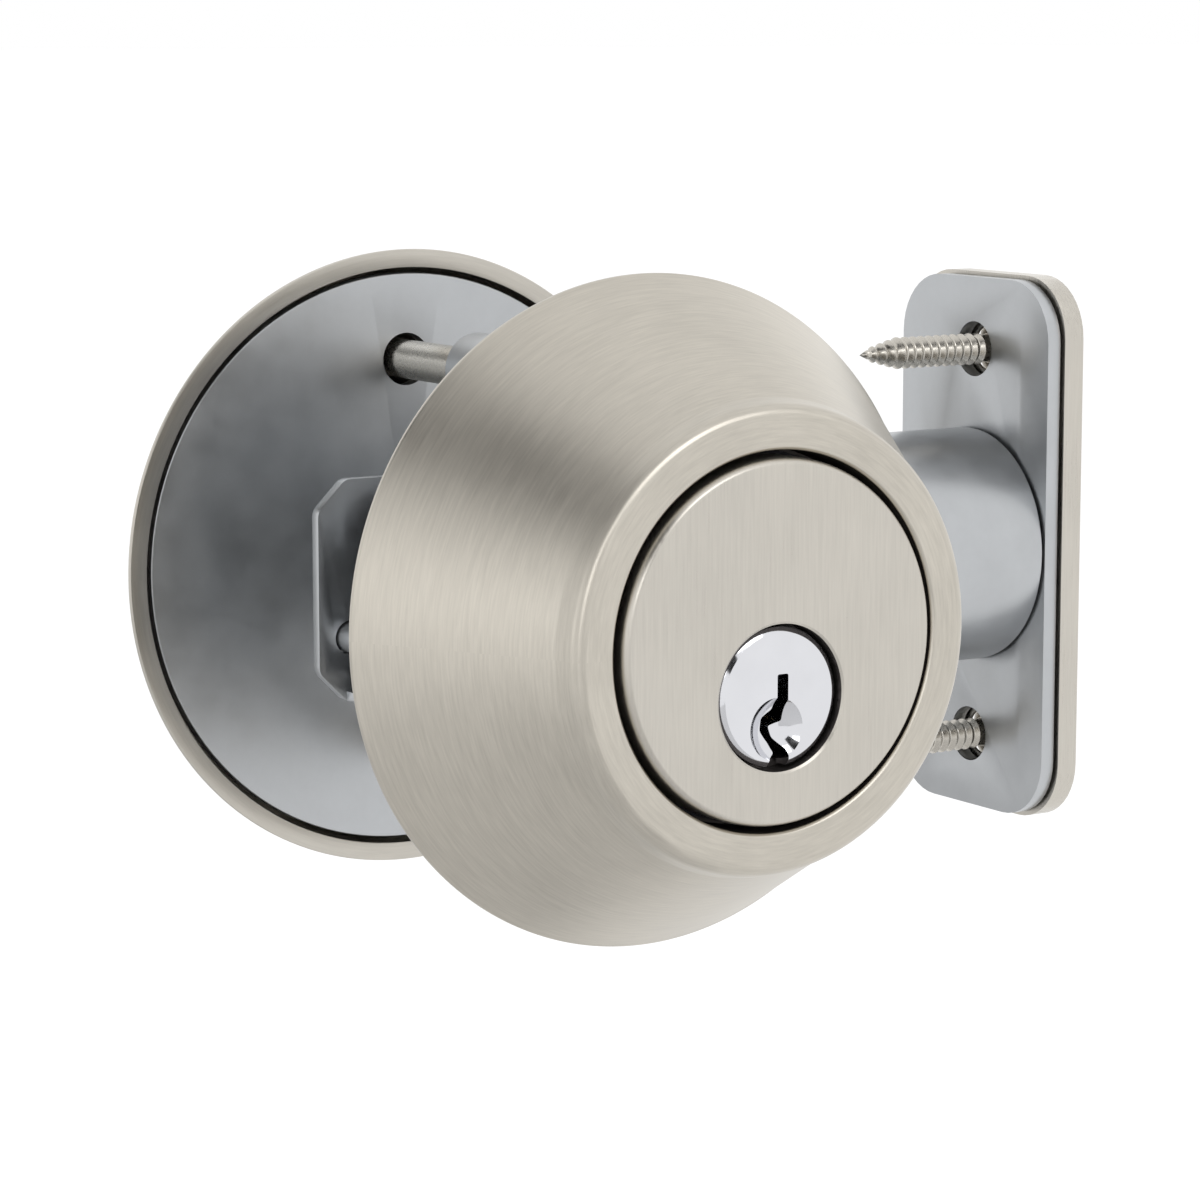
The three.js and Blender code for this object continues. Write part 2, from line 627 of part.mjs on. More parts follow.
const boltCase = new THREE.Group();
boltCase.position.y = MID;
lock.add(boltCase);

add('faceplate', facePlate(), satinNickel, boltCase);
add('backing_plate', backingPlate(), zincSteel, boltCase);
add('case_tube', caseTube(), zincSteel, boltCase);
add('case_plate_outer', casePlate(-CASE_OUT, -CASE_IN), zincSteel, boltCase);
add('case_plate_inner', casePlateInner(), zincSteel, boltCase);
RIVETS_AT.forEach(([x, z], i) => {
  add(`case_rivet_${i + 1}`, caseRivet(), zincSteel, boltCase).position.set(x, 0, z);
});
add('crank', crank(), zincSteel, boltCase).position.z = -AXIS_DROP;
add('detent_leaf', detentLeaf(), springSteel, boltCase);
add('bolt', bolt(), satinNickel, boltCase);
add('tail_bar', tailBar(), zincSteel, boltCase);
add('drive_pin', drivePin(), hardSteel, boltCase).position.set(-DRIVE_LEVER, 0, DRIVE_LEVER - AXIS_DROP);
TAIL_RIVETS_X.forEach((x, i) => {
  add(`tail_rivet_${i + 1}`, rod(1.25, -6.4, 6.4, 12), hardSteel, boltCase)
    .position.set(x, 0, TAIL_RIVET_Z);
});
add('roller_pin', alongX(rod(ROLLER_R, BOLT_X[0] + 6, BOLT_X[1] - 3.6, 20)), hardSteel, boltCase)
  .position.z = ROLLER_Z;
for (const [place, side] of [['upper', 1], ['lower', -1]]) {
  add(`face_screw_${place}`, faceScrew(), satinNickel, boltCase).position.z = side * FACE_SCREW_Z;
}

// ---------------------------------------------------------------- inside: rose and turn piece

function insidePlate() {
  const [y0, y1] = [DOOR + GAP, DOOR + GAP + 1.6];
  return cut(rod(29.3, y0, y1, 36), [
    rod(9, y0 - 1, y1 + 1, 20).translate(0, 0, -AXIS_DROP),
    ...[-1, 1].map((side) => rod(2.7, y0 - 1, y1 + 1).translate(0, 0, side * POST_Z)),
  ]);
}

function innerRose() {
  const back = ROSE_FRONT - ROSE_WALL;
  const nose = [];
  for (let i = 0; i <= 3; i++) {
    const a = rad(30 * i);
    nose.push([26 + 1.6 * Math.cos(a), ROSE_FRONT - 1.6 + 1.6 * Math.sin(a)]);
  }
  const body = turned([
    [0, back], [25.2, back], [29.9, DOOR + 2.4], [29.9, DOOR], [COLLAR_R, DOOR],
    [COLLAR_R, DOOR + COLLAR_LIP], ...nose, [0, ROSE_FRONT],
  ]);
  return cut(body, [
    rod(TURN_SHAFT_R + 0.25, back - 1, ROSE_FRONT + 1, 32).translate(0, 0, -AXIS_DROP),
    ...[-1, 1].map((side) => (
      rod(2.45, ROSE_FRONT - 2.3, ROSE_FRONT + 0.7, 20, 5.45).translate(0, 0, side * POST_Z))),
  ]);
}

// The paddle in side view, drawn in Y and Z: a waisted neck that widens to a rounded grip.
function paddleOutline() {
  const base = TURN_BOSS_Y[1] - 0.6;
  const shape = new THREE.Shape();
  shape.moveTo(base, -7);
  shape.quadraticCurveTo(base + 3.5, -7.4, base + 5.5, -13.5);
  shape.quadraticCurveTo(base + 7, -17.6, base + 11, -17.6);
  shape.quadraticCurveTo(TURN_TIP_Y, -17.6, TURN_TIP_Y, -11.5);
  shape.lineTo(TURN_TIP_Y, 11.5);
  shape.quadraticCurveTo(TURN_TIP_Y, 17.6, base + 11, 17.6);
  shape.quadraticCurveTo(base + 7, 17.6, base + 5.5, 13.5);
  shape.quadraticCurveTo(base + 3.5, 7.4, base, 7);
  return shape;
}

function turnPiece() {
  const [bossY0, bossY1] = TURN_BOSS_Y;
  const grooveR = TURN_SHAFT_R - 0.9;
  const shaft = turned([
    [0, 47.2], [TURN_SHAFT_R, 47.2], [TURN_SHAFT_R, CLIP_Y[0] - 0.15], [grooveR, CLIP_Y[0] - 0.15],
    [grooveR, CLIP_Y[1] + 0.15], [TURN_SHAFT_R, CLIP_Y[1] + 0.15], [TURN_SHAFT_R, bossY0],
    [TURN_BOSS_R, bossY0], [TURN_BOSS_R, bossY1 - 0.8], [TURN_BOSS_R - 0.8, bossY1], [0, bossY1],
  ], 28);
  const paddle = plateYZ(paddleOutline(), -TURN_HALF, TURN_HALF, 5);
  const [thick, wide] = BLADE_SLOT;
  return cut(join(shaft, paddle), [
    block(-thick / 2, thick / 2, 46, BLADE_END + 0.6, -wide / 2, wide / 2),
  ]);
}

// A spring clip open for 70 degrees at one side.
function turnClip() {
  const [inner, outer] = [TURN_SHAFT_R - 0.7, TURN_SHAFT_R + 2.2];
  const open = rad(35);
  const shape = new THREE.Shape();
  shape.absarc(0, 0, outer, open, 2 * Math.PI - open);
  shape.absarc(0, 0, inner, 2 * Math.PI - open, open, true);
  return plateXZ(shape, ...CLIP_Y, 12);
}

function turnWasher() {
  const [y0, y1] = [51.85, 52.4];
  return turnedRing([[6.25, y0], [9.4, y0], [9.4, y1], [6.25, y1]], 24);
}

add('inside_plate', insidePlate(), zincSteel);
add('inner_rose', innerRose(), satinNickel);
add('turn_piece', turnPiece(), satinNickel, keyedAxis);
add('turn_clip', turnClip(), springSteel, keyedAxis);
add('turn_washer', turnWasher(), nylon, keyedAxis);
for (const [place, side] of [['upper', 1], ['lower', -1]]) {
  add(`through_screw_${place}`, countersunkScrew(4.3, THROUGH_SCREW_R, ROSE_FRONT + 0.3, 20), satinNickel)
    .position.z = side * POST_Z;
}

export default lock;
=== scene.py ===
# %% [markdown]
# # A deadbolt door lock
# The lock comes in as a frame of plain solids, each already in its place. This lesson gives each
# piece its finer shape and its finish. We start by loading the frame and keeping its overall box.

# %% Load the frame
import math
import bmesh
import bpy
from mathutils import Matrix, Vector


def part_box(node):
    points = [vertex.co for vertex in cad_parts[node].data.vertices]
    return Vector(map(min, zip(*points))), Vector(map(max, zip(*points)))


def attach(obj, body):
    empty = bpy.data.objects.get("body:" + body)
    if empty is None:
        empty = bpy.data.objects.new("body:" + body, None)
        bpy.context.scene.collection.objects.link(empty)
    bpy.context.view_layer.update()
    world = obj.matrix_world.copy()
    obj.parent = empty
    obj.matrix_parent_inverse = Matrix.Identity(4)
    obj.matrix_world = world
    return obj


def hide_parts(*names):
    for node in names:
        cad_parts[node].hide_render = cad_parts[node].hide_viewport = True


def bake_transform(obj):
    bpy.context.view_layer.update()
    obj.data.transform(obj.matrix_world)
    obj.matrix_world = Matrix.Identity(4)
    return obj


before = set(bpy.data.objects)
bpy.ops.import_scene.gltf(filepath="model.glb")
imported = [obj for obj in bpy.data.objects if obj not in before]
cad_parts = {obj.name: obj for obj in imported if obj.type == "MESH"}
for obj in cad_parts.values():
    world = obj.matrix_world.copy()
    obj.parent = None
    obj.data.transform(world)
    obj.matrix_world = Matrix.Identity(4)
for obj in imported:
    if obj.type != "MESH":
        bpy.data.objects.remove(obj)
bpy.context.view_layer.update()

# %% [markdown]
# ## The main sizes
# Sizes are in millimetres, because that is how a lock is drawn, and mm() turns them into Blender's
# metres. Where a size can be read from the frame's own box, we read it there instead of typing it.

# %% Sizes read from the frame
def mm(*values):
    made = tuple(v * 0.001 for v in values)
    return made if len(made) > 1 else made[0]


def span(node, axis):
    """Lowest and highest place of a node along X, Y or Z, in millimetres."""
    low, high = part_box(node)
    i = "XYZ".index(axis)
    return low[i] * 1000, high[i] * 1000


DOOR = span("inner_rose", "Y")[0]
MID = sum(span("bolt", "Y")) / 2
HEAD_FRONT = span("cylinder_body", "Y")[0]
COLLAR_FRONT = span("guard_collar", "Y")[0]
COLLAR_R = span("guard_collar", "X")[1]
POST_Z = sum(span("post_upper", "Z")) / 2
AXIS_Z = -4.9  # the plug, the tailpiece and the turn piece all turn about this height
print(f"door from 0 to {DOOR:.2f}, head's face at {HEAD_FRONT:.2f}, collar's front at {COLLAR_FRONT:.2f}")
print(f"rim radius {COLLAR_R:.2f}, through screws {POST_Z:.2f} above and below, bolt at {MID:.2f}")

# %% [markdown]
# ## Camera
# The camera is made first. It stands to the left of the lock and a little above it, close enough
# that the near side of the collar looks larger than the far side.

# %% Camera
AZIMUTH, ELEVATION, AWAY = math.radians(-34.7), math.radians(9.03), mm(350)
stand = Vector((math.sin(AZIMUTH), -math.cos(AZIMUTH), 0)) * math.cos(ELEVATION)
stand.z = math.sin(ELEVATION)
camera_data = bpy.data.cameras.new("lens")
camera = bpy.data.objects.new("camera", camera_data)
bpy.context.scene.collection.objects.link(camera)
camera.location = Vector(mm(0, -15, 0)) + stand * AWAY
looks_at = Vector(mm(-10.2, -8, 3.0))
camera.rotation_euler = (looks_at - camera.location).to_track_quat("-Z", "Y").to_euler()
camera_data.lens = 116
camera_data.clip_start = mm(10)
camera_data.clip_end = 100
bpy.context.scene.camera = camera
bpy.context.scene.view_settings.view_transform = "Standard"
print("camera at", [round(c, 3) for c in camera.location])

# %% [markdown]
# ## Floor and light
# Brushed and polished metal only shows what is around it, so the room matters as much as the metal.
# The room is white all round. On a cone with scratches that run round it, each part of the room
# shows as a wedge, so we need dark cards in chosen places as well as lamps. These helpers make a
# flat sheet, a card that only shows in reflections, and a soft flat lamp.

# %% Sheets, cards and lamps
def plain_material(name, color, roughness=0.9, emission=0.0):
    made = bpy.data.materials.new(name)
    made.use_nodes = True
    shader = made.node_tree.nodes["Principled BSDF"]
    shader.inputs["Base Color"].default_value = (*color, 1)
    shader.inputs["Roughness"].default_value = roughness
    if emission:
        shader.inputs["Emission Color"].default_value = (*color, 1)
        shader.inputs["Emission Strength"].default_value = emission
    return made


def stage_sheet(name, size, location, facing, material, along="Y"):
    """A flat sheet that faces a direction, with its long side laid along an axis."""
    bm = bmesh.new()
    bmesh.ops.create_grid(bm, x_segments=1, y_segments=1, size=0.5)
    bmesh.ops.scale(bm, vec=(size[0], size[1], 1), verts=bm.verts)
    mesh = bpy.data.meshes.new(name)
    bm.to_mesh(mesh)
    bm.free()
    made = bpy.data.objects.new(name, mesh)
    bpy.context.scene.collection.objects.link(made)
    mesh.materials.append(material)
    out = Vector(facing).normalized()
    up = Vector([float(a == along) for a in "XYZ"])
    across = up.cross(out).normalized()
    turn = Matrix((across, out.cross(across), out)).transposed()
    made.matrix_world = Matrix.Translation(location) @ turn.to_4x4()
    return made


def reflected_card(name, size, location, facing, shade):
    """A card that only shows in reflections: the camera doesn't see it and it casts no shadow."""
    made = stage_sheet(name, size, location, facing, plain_material(name, (shade,) * 3))
    made.visible_camera = made.visible_diffuse = made.visible_shadow = False
    return made


def soft_light(name, direction, distance, size, power):
    """A flat lamp that stands off the lock in a direction and shines back at it."""
    data = bpy.data.lights.new(name, "AREA")
    data.shape = "RECTANGLE"
    data.size, data.size_y = size
    data.energy = power
    made = bpy.data.objects.new(name, data)
    bpy.context.scene.collection.objects.link(made)
    way = Vector(direction).normalized()
    made.location = way * distance
    made.rotation_euler = way.to_track_quat("Z", "Y").to_euler()
    made.visible_camera = False
    return made

# %% [markdown]
# ### The room
# One long dark card above and to the left gives the dark wedge on the collar, and a grey one below
# gives the darker side under it. The cards cast no shadow. Four soft lights do the rest: the strong
# one in front of the lock and above it gives the bright line along the collar's nose, and the one
# beside the camera lights the upright face. The cards and the floor are staging, so they are not
# part of the lock.

# %% Floor, world and lights
pale = plain_material("pale_floor", (0.93, 0.93, 0.93), emission=0.12)
floor = stage_sheet("floor", (60, 60), (0, 0, -0.2), (0, 0, 1), pale)
floor.visible_glossy = False
world = bpy.data.worlds.new("studio")
bpy.context.scene.world = world
world.use_nodes = True
world.node_tree.nodes["Background"].inputs["Color"].default_value = (1, 1, 1, 1)
world.node_tree.nodes["Background"].inputs["Strength"].default_value = 1.0
soft_light("light_right", (0.8, 0.55, 0.25), 0.9, (0.5, 0.5), 0.15)
soft_light("light_left", (-0.98, -0.05, 0.12), 0.9, (0.3, 0.25), 0.12)
soft_light("light_front", (0.0, -0.6, 0.8), 0.9, (0.5, 0.35), 1.1)
soft_light("light_beside_camera", (-0.64, -0.62, 0.45), 0.9, (0.3, 0.3), 0.7)
above_left = Vector((-0.643, 0.022, 0.766)) * 0.45
reflected_card("card_above_left", (0.23, 1.5), above_left + Vector((0, -0.15, 0)), -above_left, 0.01)
reflected_card("card_below_left", (0.55, 2.0), (-0.23, 0, -0.19), (0, 0, 1), 0.6)

# %% [markdown]
# ## Shaping helpers
# Nearly every piece of a lock is turned on a lathe or punched from sheet. So two helpers do most of
# the work: one turns a profile about an axis, the other gives an outline a thickness. First comes one
# that softens the corners of either, because no real edge is perfectly sharp and a small round on
# each edge catches the light.

# %% Outlines and corners
PLACE = {
    "X": lambda u, v, w: (w, u, v),
    "Y": lambda u, v, w: (u, w, v),
    "Z": lambda u, v, w: (u, v, w),
}


def softened(points, radius, steps=3, closed=False):
    """The same outline with each corner rounded off. An open outline keeps its two ends."""
    made = []
    count = len(points)
    for i, (x, y) in enumerate(points):
        if not closed and i in (0, count - 1):
            made.append((x, y))
            continue
        here = Vector((x, y))
        back, on = Vector(points[i - 1]) - here, Vector(points[(i + 1) % count]) - here
        turn = math.pi - back.angle(on)
        if turn < math.radians(12):
            made.append((x, y))
            continue
        reach = min(radius, back.length * 0.45, on.length * 0.45)
        start, end = here + back.normalized() * reach, here + on.normalized() * reach
        for k in range(steps + 1):
            t = k / steps
            made.append(tuple(start * (1 - t) ** 2 + here * 2 * t * (1 - t) + end * t * t))
    return made


def rounded_rectangle(width, height, corner, steps=10):
    """Four quarter circles, one round each corner's middle, joined by straight sides."""
    made = []
    for cx, cy, start in ((1, 1, 0), (-1, 1, 90), (-1, -1, 180), (1, -1, 270)):
        for k in range(steps + 1):
            a = math.radians(start + 90 * k / steps)
            made.append((cx * (width / 2 - corner) + corner * math.cos(a),
                         cy * (height / 2 - corner) + corner * math.sin(a)))
    return made

# %% [markdown]
# ### Turning and punching
# A profile could also be spun with the Screw modifier, and an outline thickened with Solidify. We
# make the faces directly instead, because that gives exact sizes and closed ends, and leaves no
# modifiers that have to be kept in order.

# %% Turning and punching
def mesh_object(name, bm):
    """Turns finished faces into an object in the scene."""
    bmesh.ops.recalc_face_normals(bm, faces=bm.faces)
    mesh = bpy.data.meshes.new(name)
    bm.to_mesh(mesh)
    bm.free()
    made = bpy.data.objects.new(name, mesh)
    bpy.context.scene.collection.objects.link(made)
    return made


def turned(name, profile, axis="Y", centre=(0, 0), sides=128, corner=0.15, ring=False):
    """Turns (radius, place along the axis) points. A ring profile closes on itself off the axis."""
    points = softened(profile, corner, closed=ring)
    bm = bmesh.new()
    rows = []
    for r, w in points:
        if r < 1e-6:
            rows.append([bm.verts.new(mm(*PLACE[axis](*centre, w)))])
            continue
        rows.append([
            bm.verts.new(mm(*PLACE[axis](centre[0] + r * math.cos(2 * math.pi * k / sides),
                                         centre[1] + r * math.sin(2 * math.pi * k / sides), w)))
            for k in range(sides)])
    pairs = list(zip(rows, rows[1:])) + ([(rows[-1], rows[0])] if ring else [])
    for a, b in pairs:
        for k in range(sides):
            n = (k + 1) % sides
            if len(a) == 1:
                bm.faces.new((a[0], b[k], b[n]))
            elif len(b) == 1:
                bm.faces.new((a[k], b[0], a[n]))
            else:
                bm.faces.new((a[k], b[k], b[n], a[n]))
    return mesh_object(name, bm)


def punched(name, outline, axis, low, high, centre=(0, 0)):
    """Gives an outline a thickness along an axis."""
    bm = bmesh.new()
    levels = [[bm.verts.new(mm(*PLACE[axis](centre[0] + u, centre[1] + v, w))) for u, v in outline]
              for w in (low, high)]
    count = len(outline)
    bm.faces.new(levels[0])
    bm.faces.new(reversed(levels[1]))
    for k in range(count):
        n = (k + 1) % count
        bm.faces.new((levels[0][k], levels[1][k], levels[1][n], levels[0][n]))
    return mesh_object(name, bm)

# %% [markdown]
# ### Cutting, joining and rounding
# Holes and slots are cut with the Boolean modifier. Its manifold solver is quick and keeps a closed
# shape closed. Each cut is applied at once, so that the next one starts from a clean mesh. Every
# piece then ends in the same way, in fitted(): its finish, smooth shading and the body it moves with.

# %% Cutting, joining and edge rounding
def applied(piece):
    """Replaces a piece's mesh with what its modifiers make of it."""
    graph = bpy.context.evaluated_depsgraph_get()
    made = bpy.data.meshes.new_from_object(piece.evaluated_get(graph))
    piece.modifiers.clear()
    old = piece.data
    piece.data = made
    bpy.data.meshes.remove(old)
    return piece


def combined(piece, tools, way="DIFFERENCE"):
    """Cuts each tool from the piece, or joins it on, and clears the tool away."""
    for tool in tools:
        modifier = piece.modifiers.new("shape", "BOOLEAN")
        modifier.operation = way
        modifier.solver = "MANIFOLD"
        modifier.object = tool
        applied(piece)
        mesh = tool.data
        bpy.data.objects.remove(tool)
        bpy.data.meshes.remove(mesh)
    return piece


def eased(piece, width, segments=2, angle=30):
    """Rounds the piece's sharp edges."""
    modifier = piece.modifiers.new("ease", "BEVEL")
    modifier.width = mm(width)
    modifier.segments = segments
    modifier.limit_method = "ANGLE"
    modifier.angle_limit = math.radians(angle)
    return applied(piece)


def drill(axis, low, high, radius, centre, top_radius=None, sides=48):
    """A round bit, straight or tapered, to cut a hole with."""
    top = radius if top_radius is None else top_radius
    profile = [(0, low), (radius, low), (top, high), (0, high)]
    return turned("drill", profile, axis, centre, sides, corner=0)


def fitted(piece, body, slot, material, *nodes, smooth=32):
    """The last step for a piece: smooth shading, its finish, and the body that it moves with."""
    mesh = piece.data
    mesh.materials.clear()
    mesh.materials.append(material)
    mesh.shade_smooth()
    mesh.set_sharp_from_angle(angle=math.radians(smooth))
    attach(piece, body)
    if nodes:
        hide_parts(*nodes)
    print(f"{piece.name}: {len(mesh.polygons)} faces, rides on {body}")
    return piece


def painted_shade_faces(piece, material, picked):
    """Gives another material to the faces that a test picks, by their centre in millimetres: here a
    near-black painted shade.
    """
    piece.data.materials.append(material)
    faces = [face for face in piece.data.polygons if picked(face.center * 1000)]
    for face in faces:
        face.material_index = 1
    print(f"{piece.name}: {len(faces)} faces in {material.name}")

# %% [markdown]
# ## Metal finishes
# Brushed metal is many fine scratches that all run one way. They stretch each highlight across the
# scratches, which the shader's anisotropy gives, and they also leave faint light and dark lines,
# which a noise pattern gives once it is squeezed along the scratches. On a turned piece the
# scratches run round the axis, so there the noise is laid out by radius and depth.

# %% A small kit for shader nodes
class Finish:
    """Builds one material step by step."""

    def __init__(self, name, color, roughness, metallic=1.0):
        self.material = bpy.data.materials.new(name)
        self.material.use_nodes = True
        self.tree = self.material.node_tree
        self.shader = self.tree.nodes["Principled BSDF"]
        self.shader.inputs["Metallic"].default_value = metallic
        self.color, self.roughness = color, roughness
        self.coords = self.node("ShaderNodeTexCoord").outputs["Object"]
        self.height = None

    def node(self, kind, **settings):
        made = self.tree.nodes.new(kind)
        for key, value in settings.items():
            setattr(made, key, value)
        return made

    def link(self, source, socket):
        self.tree.links.new(source, socket)

    def math(self, operation, a, b=0.0):
        made = self.node("ShaderNodeMath", operation=operation)
        for socket, value in zip(made.inputs, (a, b)):
            if isinstance(value, (int, float)):
                socket.default_value = value
            else:
                self.link(value, socket)
        return made.outputs[0]

    def noise(self, vector, scale, detail=2.0, rough=0.5):
        made = self.node("ShaderNodeTexNoise")
        made.inputs["Scale"].default_value = scale
        made.inputs["Detail"].default_value = detail
        made.inputs["Roughness"].default_value = rough
        self.link(vector, made.inputs["Vector"])
        return made.outputs["Fac"]

    def spread(self, value, low, high, start=0.3, end=0.7):
        """Maps a pattern onto a range of values."""
        made = self.node("ShaderNodeMapRange")
        made.inputs["From Min"].default_value = start
        made.inputs["From Max"].default_value = end
        made.inputs["To Min"].default_value = low
        made.inputs["To Max"].default_value = high
        self.link(value, made.inputs["Value"])
        return made.outputs["Result"]

    def straight(self, along, fine=4200, coarse=160):
        """Object coordinates squeezed along one axis, for scratches that run that way."""
        made = self.node("ShaderNodeMapping")
        made.inputs["Scale"].default_value = [coarse if a == along else fine for a in "XYZ"]
        self.link(self.coords, made.inputs["Vector"])
        return made.outputs["Vector"]

    def around(self, axis="Y", centre=(0.0, 0.0), fine=4200, coarse=7):
        """Radius, depth and angle about an axis, for scratches that run round it."""
        parts = self.node("ShaderNodeSeparateXYZ")
        self.link(self.coords, parts.inputs[0])
        flat = [name for name in "XYZ" if name != axis]
        u = self.math("SUBTRACT", parts.outputs[flat[0]], centre[0])
        v = self.math("SUBTRACT", parts.outputs[flat[1]], centre[1])
        squares = self.math("ADD", self.math("MULTIPLY", u, u), self.math("MULTIPLY", v, v))
        radius = self.math("SQRT", squares)
        joined = self.node("ShaderNodeCombineXYZ")
        self.link(self.math("MULTIPLY", radius, fine), joined.inputs[0])
        self.link(self.math("MULTIPLY", parts.outputs[axis], fine), joined.inputs[1])
        self.link(self.math("MULTIPLY", self.math("ARCTAN2", v, u), coarse), joined.inputs[2])
        return joined.outputs[0]

    def bump(self, value, distance, strength=1.0):
        made = self.node("ShaderNodeBump")
        made.inputs["Distance"].default_value = mm(distance)
        made.inputs["Strength"].default_value = strength
        self.link(value, made.inputs["Height"])
        if self.height is not None:
            self.link(self.height, made.inputs["Normal"])
        self.height = made.outputs["Normal"]

    def tint(self, value, low, high):
        """Base colour that varies between two shades of the metal."""
        made = self.node("ShaderNodeMix", data_type="RGBA")
        made.inputs["A"].default_value = (*[c * low for c in self.color], 1)
        made.inputs["B"].default_value = (*[c * high for c in self.color], 1)
        self.link(value, made.inputs["Factor"])
        return made.outputs["Result"]

    def done(self, color, roughness):
        self.link(color, self.shader.inputs["Base Color"])
        self.link(roughness, self.shader.inputs["Roughness"])
        if self.height is not None:
            self.link(self.height, self.shader.inputs["Normal"])
        return self.material

# %% [markdown]
# ### Satin nickel
# The trim is nickel plated and then brushed with a fine belt. One recipe serves all of it, and what
# changes from piece to piece is mostly the way the scratches run. Round an axis the gloss and the
# bump wander much less from line to line. Otherwise the stretched reflections would break up into
# dark dashes, so there the lines come from the colour instead.

# %% Satin nickel
NICKEL = (0.60, 0.57, 0.515)
WARM_NICKEL = (0.59, 0.555, 0.49)


def satin_nickel(name, along=None, axis="Y", centre=(0.0, 0.0), anisotropy=0.6, roughness=0.3,
                 color=NICKEL, contrast=0.085):
    """Brushed along X, Y or Z, or round an axis where no direction is given."""
    f = Finish(name, color, roughness)
    lines = f.straight(along) if along else f.around(axis, centre)
    scratch = f.noise(lines, 1.0, 3.0, 0.6)
    cloud = f.noise(f.coords, 90, 3.0)
    tone = f.math("ADD", f.math("MULTIPLY", scratch, 0.6), f.math("MULTIPLY", cloud, 0.4))
    wander = 0.055 if along else 0.014
    line_rough = f.spread(scratch, roughness - wander, roughness + wander)
    rough = f.math("ADD", line_rough, f.spread(cloud, -0.02, 0.03))
    f.shader.inputs["Anisotropic"].default_value = anisotropy
    if not along:
        tangent = f.node("ShaderNodeTangent", direction_type="RADIAL", axis=axis)
        f.link(tangent.outputs[0], f.shader.inputs["Tangent"])
    f.bump(scratch, 0.004, 0.6 if along else 0.07)
    return f.done(f.tint(f.spread(tone, 0, 1), 0.985 - contrast, 0.985 + contrast), rough)


collar_finish = satin_nickel("satin_nickel_turned", anisotropy=0.8, roughness=0.31,
                             color=WARM_NICKEL, contrast=0.12)
face_finish = satin_nickel("satin_nickel_upright", along="Z", anisotropy=0.0, roughness=0.33)
edge_finish = satin_nickel("satin_nickel_faceplate", along="Z", anisotropy=0.0, roughness=0.3)
bolt_finish = satin_nickel("satin_nickel_bolt", along="X", anisotropy=0.0, roughness=0.28)
grip_finish = satin_nickel("satin_nickel_grip", along="Z", anisotropy=0.0, roughness=0.32)
screw_finish = satin_nickel("satin_nickel_screw", along="X", anisotropy=0.0, roughness=0.28)
print([m.name for m in bpy.data.materials if m.name.startswith("satin_nickel")])

# %% [markdown]
# ### The other metals
# The plug is polished and then chromed, so it needs a very low roughness with only faint hairlines.
# The steel parts inside are zinc plated, which leaves soft grey-blue clouds, and the pins are brass
# straight from the lathe. The walls of the gap round the head and of the bore round the plug are
# painted near black, as painted shade where that deep, narrow gap is dark. The wave washer in the
# gap is coloured near black too, as painted shade that hides its glint. The plated metals and the
# two painted shades come from one recipe: soft clouds over a fine even grain.

# %% Chrome, plated metals, brass and nylon
def polished_chrome():
    """A mirror with faint upright hairlines and a few smears from handling."""
    f = Finish("polished_chrome", (0.745, 0.75, 0.78), 0.08)
    hairline = f.noise(f.straight("Z", fine=7000, coarse=120), 1.0, 2.0)
    smear = f.noise(f.coords, 260, 3.0)
    f.bump(hairline, 0.001, 0.35)
    rough = f.math("ADD", f.spread(hairline, 0.05, 0.1), f.spread(smear, 0.0, 0.05))
    return f.done(f.tint(f.spread(smear, 0, 1), 0.97, 1.02), rough)


def plated(name, color, roughness, cloud_scale=220.0, grain=0.003):
    """Plated or drawn metal: soft clouds in tone and gloss over a fine even grain."""
    f = Finish(name, color, roughness)
    cloud = f.noise(f.coords, cloud_scale, 4.0, 0.6)
    fine = f.noise(f.coords, 5200, 2.0)
    f.bump(fine, grain, 0.5)
    cloud_rough = f.spread(cloud, roughness - 0.03, roughness + 0.04)
    rough = f.math("ADD", cloud_rough, f.spread(fine, -0.02, 0.02))
    return f.done(f.tint(f.spread(cloud, 0, 1), 0.95, 1.04), rough)


def turned_brass(name, axis):
    """Brass with the fine rings that a lathe tool leaves round an axis."""
    f = Finish(name, (0.74, 0.53, 0.23), 0.28)
    rings = f.noise(f.around(axis, (0.0, 0.0), fine=6000, coarse=1), 1.0, 2.0)
    cloud = f.noise(f.coords, 400, 3.0)
    f.bump(rings, 0.004, 0.6)
    return f.done(f.tint(f.spread(cloud, 0, 1), 0.88, 1.05), f.spread(rings, 0.2, 0.36))


def moulded_nylon():
    """Pale plastic that lets a little light in, with a faint mottle."""
    f = Finish("nylon", (0.81, 0.79, 0.72), 0.5, metallic=0.0)
    f.shader.inputs["Subsurface Weight"].default_value = 0.15
    f.shader.inputs["Subsurface Scale"].default_value = mm(0.5)
    mottle = f.noise(f.coords, 900, 3.0)
    f.bump(mottle, 0.01, 0.4)
    return f.done(f.tint(f.spread(mottle, 0, 1), 0.95, 1.02), f.spread(mottle, 0.42, 0.58))


chrome = polished_chrome()
zinc = plated("zinc_plate", (0.52, 0.535, 0.55), 0.34)
brass = turned_brass("turned_brass", "Z")
ring_brass = turned_brass("turned_brass_ring", "Y")
spring_steel = plated("spring_steel", (0.36, 0.37, 0.39), 0.26, cloud_scale=500)
hard_steel = plated("hard_steel", (0.17, 0.175, 0.185), 0.32, cloud_scale=400)
# Painted shade: the wave washer is coloured near black, so that it shows no glint in the dark gap round the
# head.
washer_painted_shade = plated("washer_painted_shade", (0.03, 0.03, 0.034), 0.42, cloud_scale=300)
# Painted shade: a near-black colour for the recess walls, where the narrow gap round the head and the bore
# round the plug would be dark.
recess_shade_material = plated("painted_shade_recess", (0.11, 0.1, 0.095), 0.5)
nylon = moulded_nylon()
print("materials:", len(bpy.data.materials))
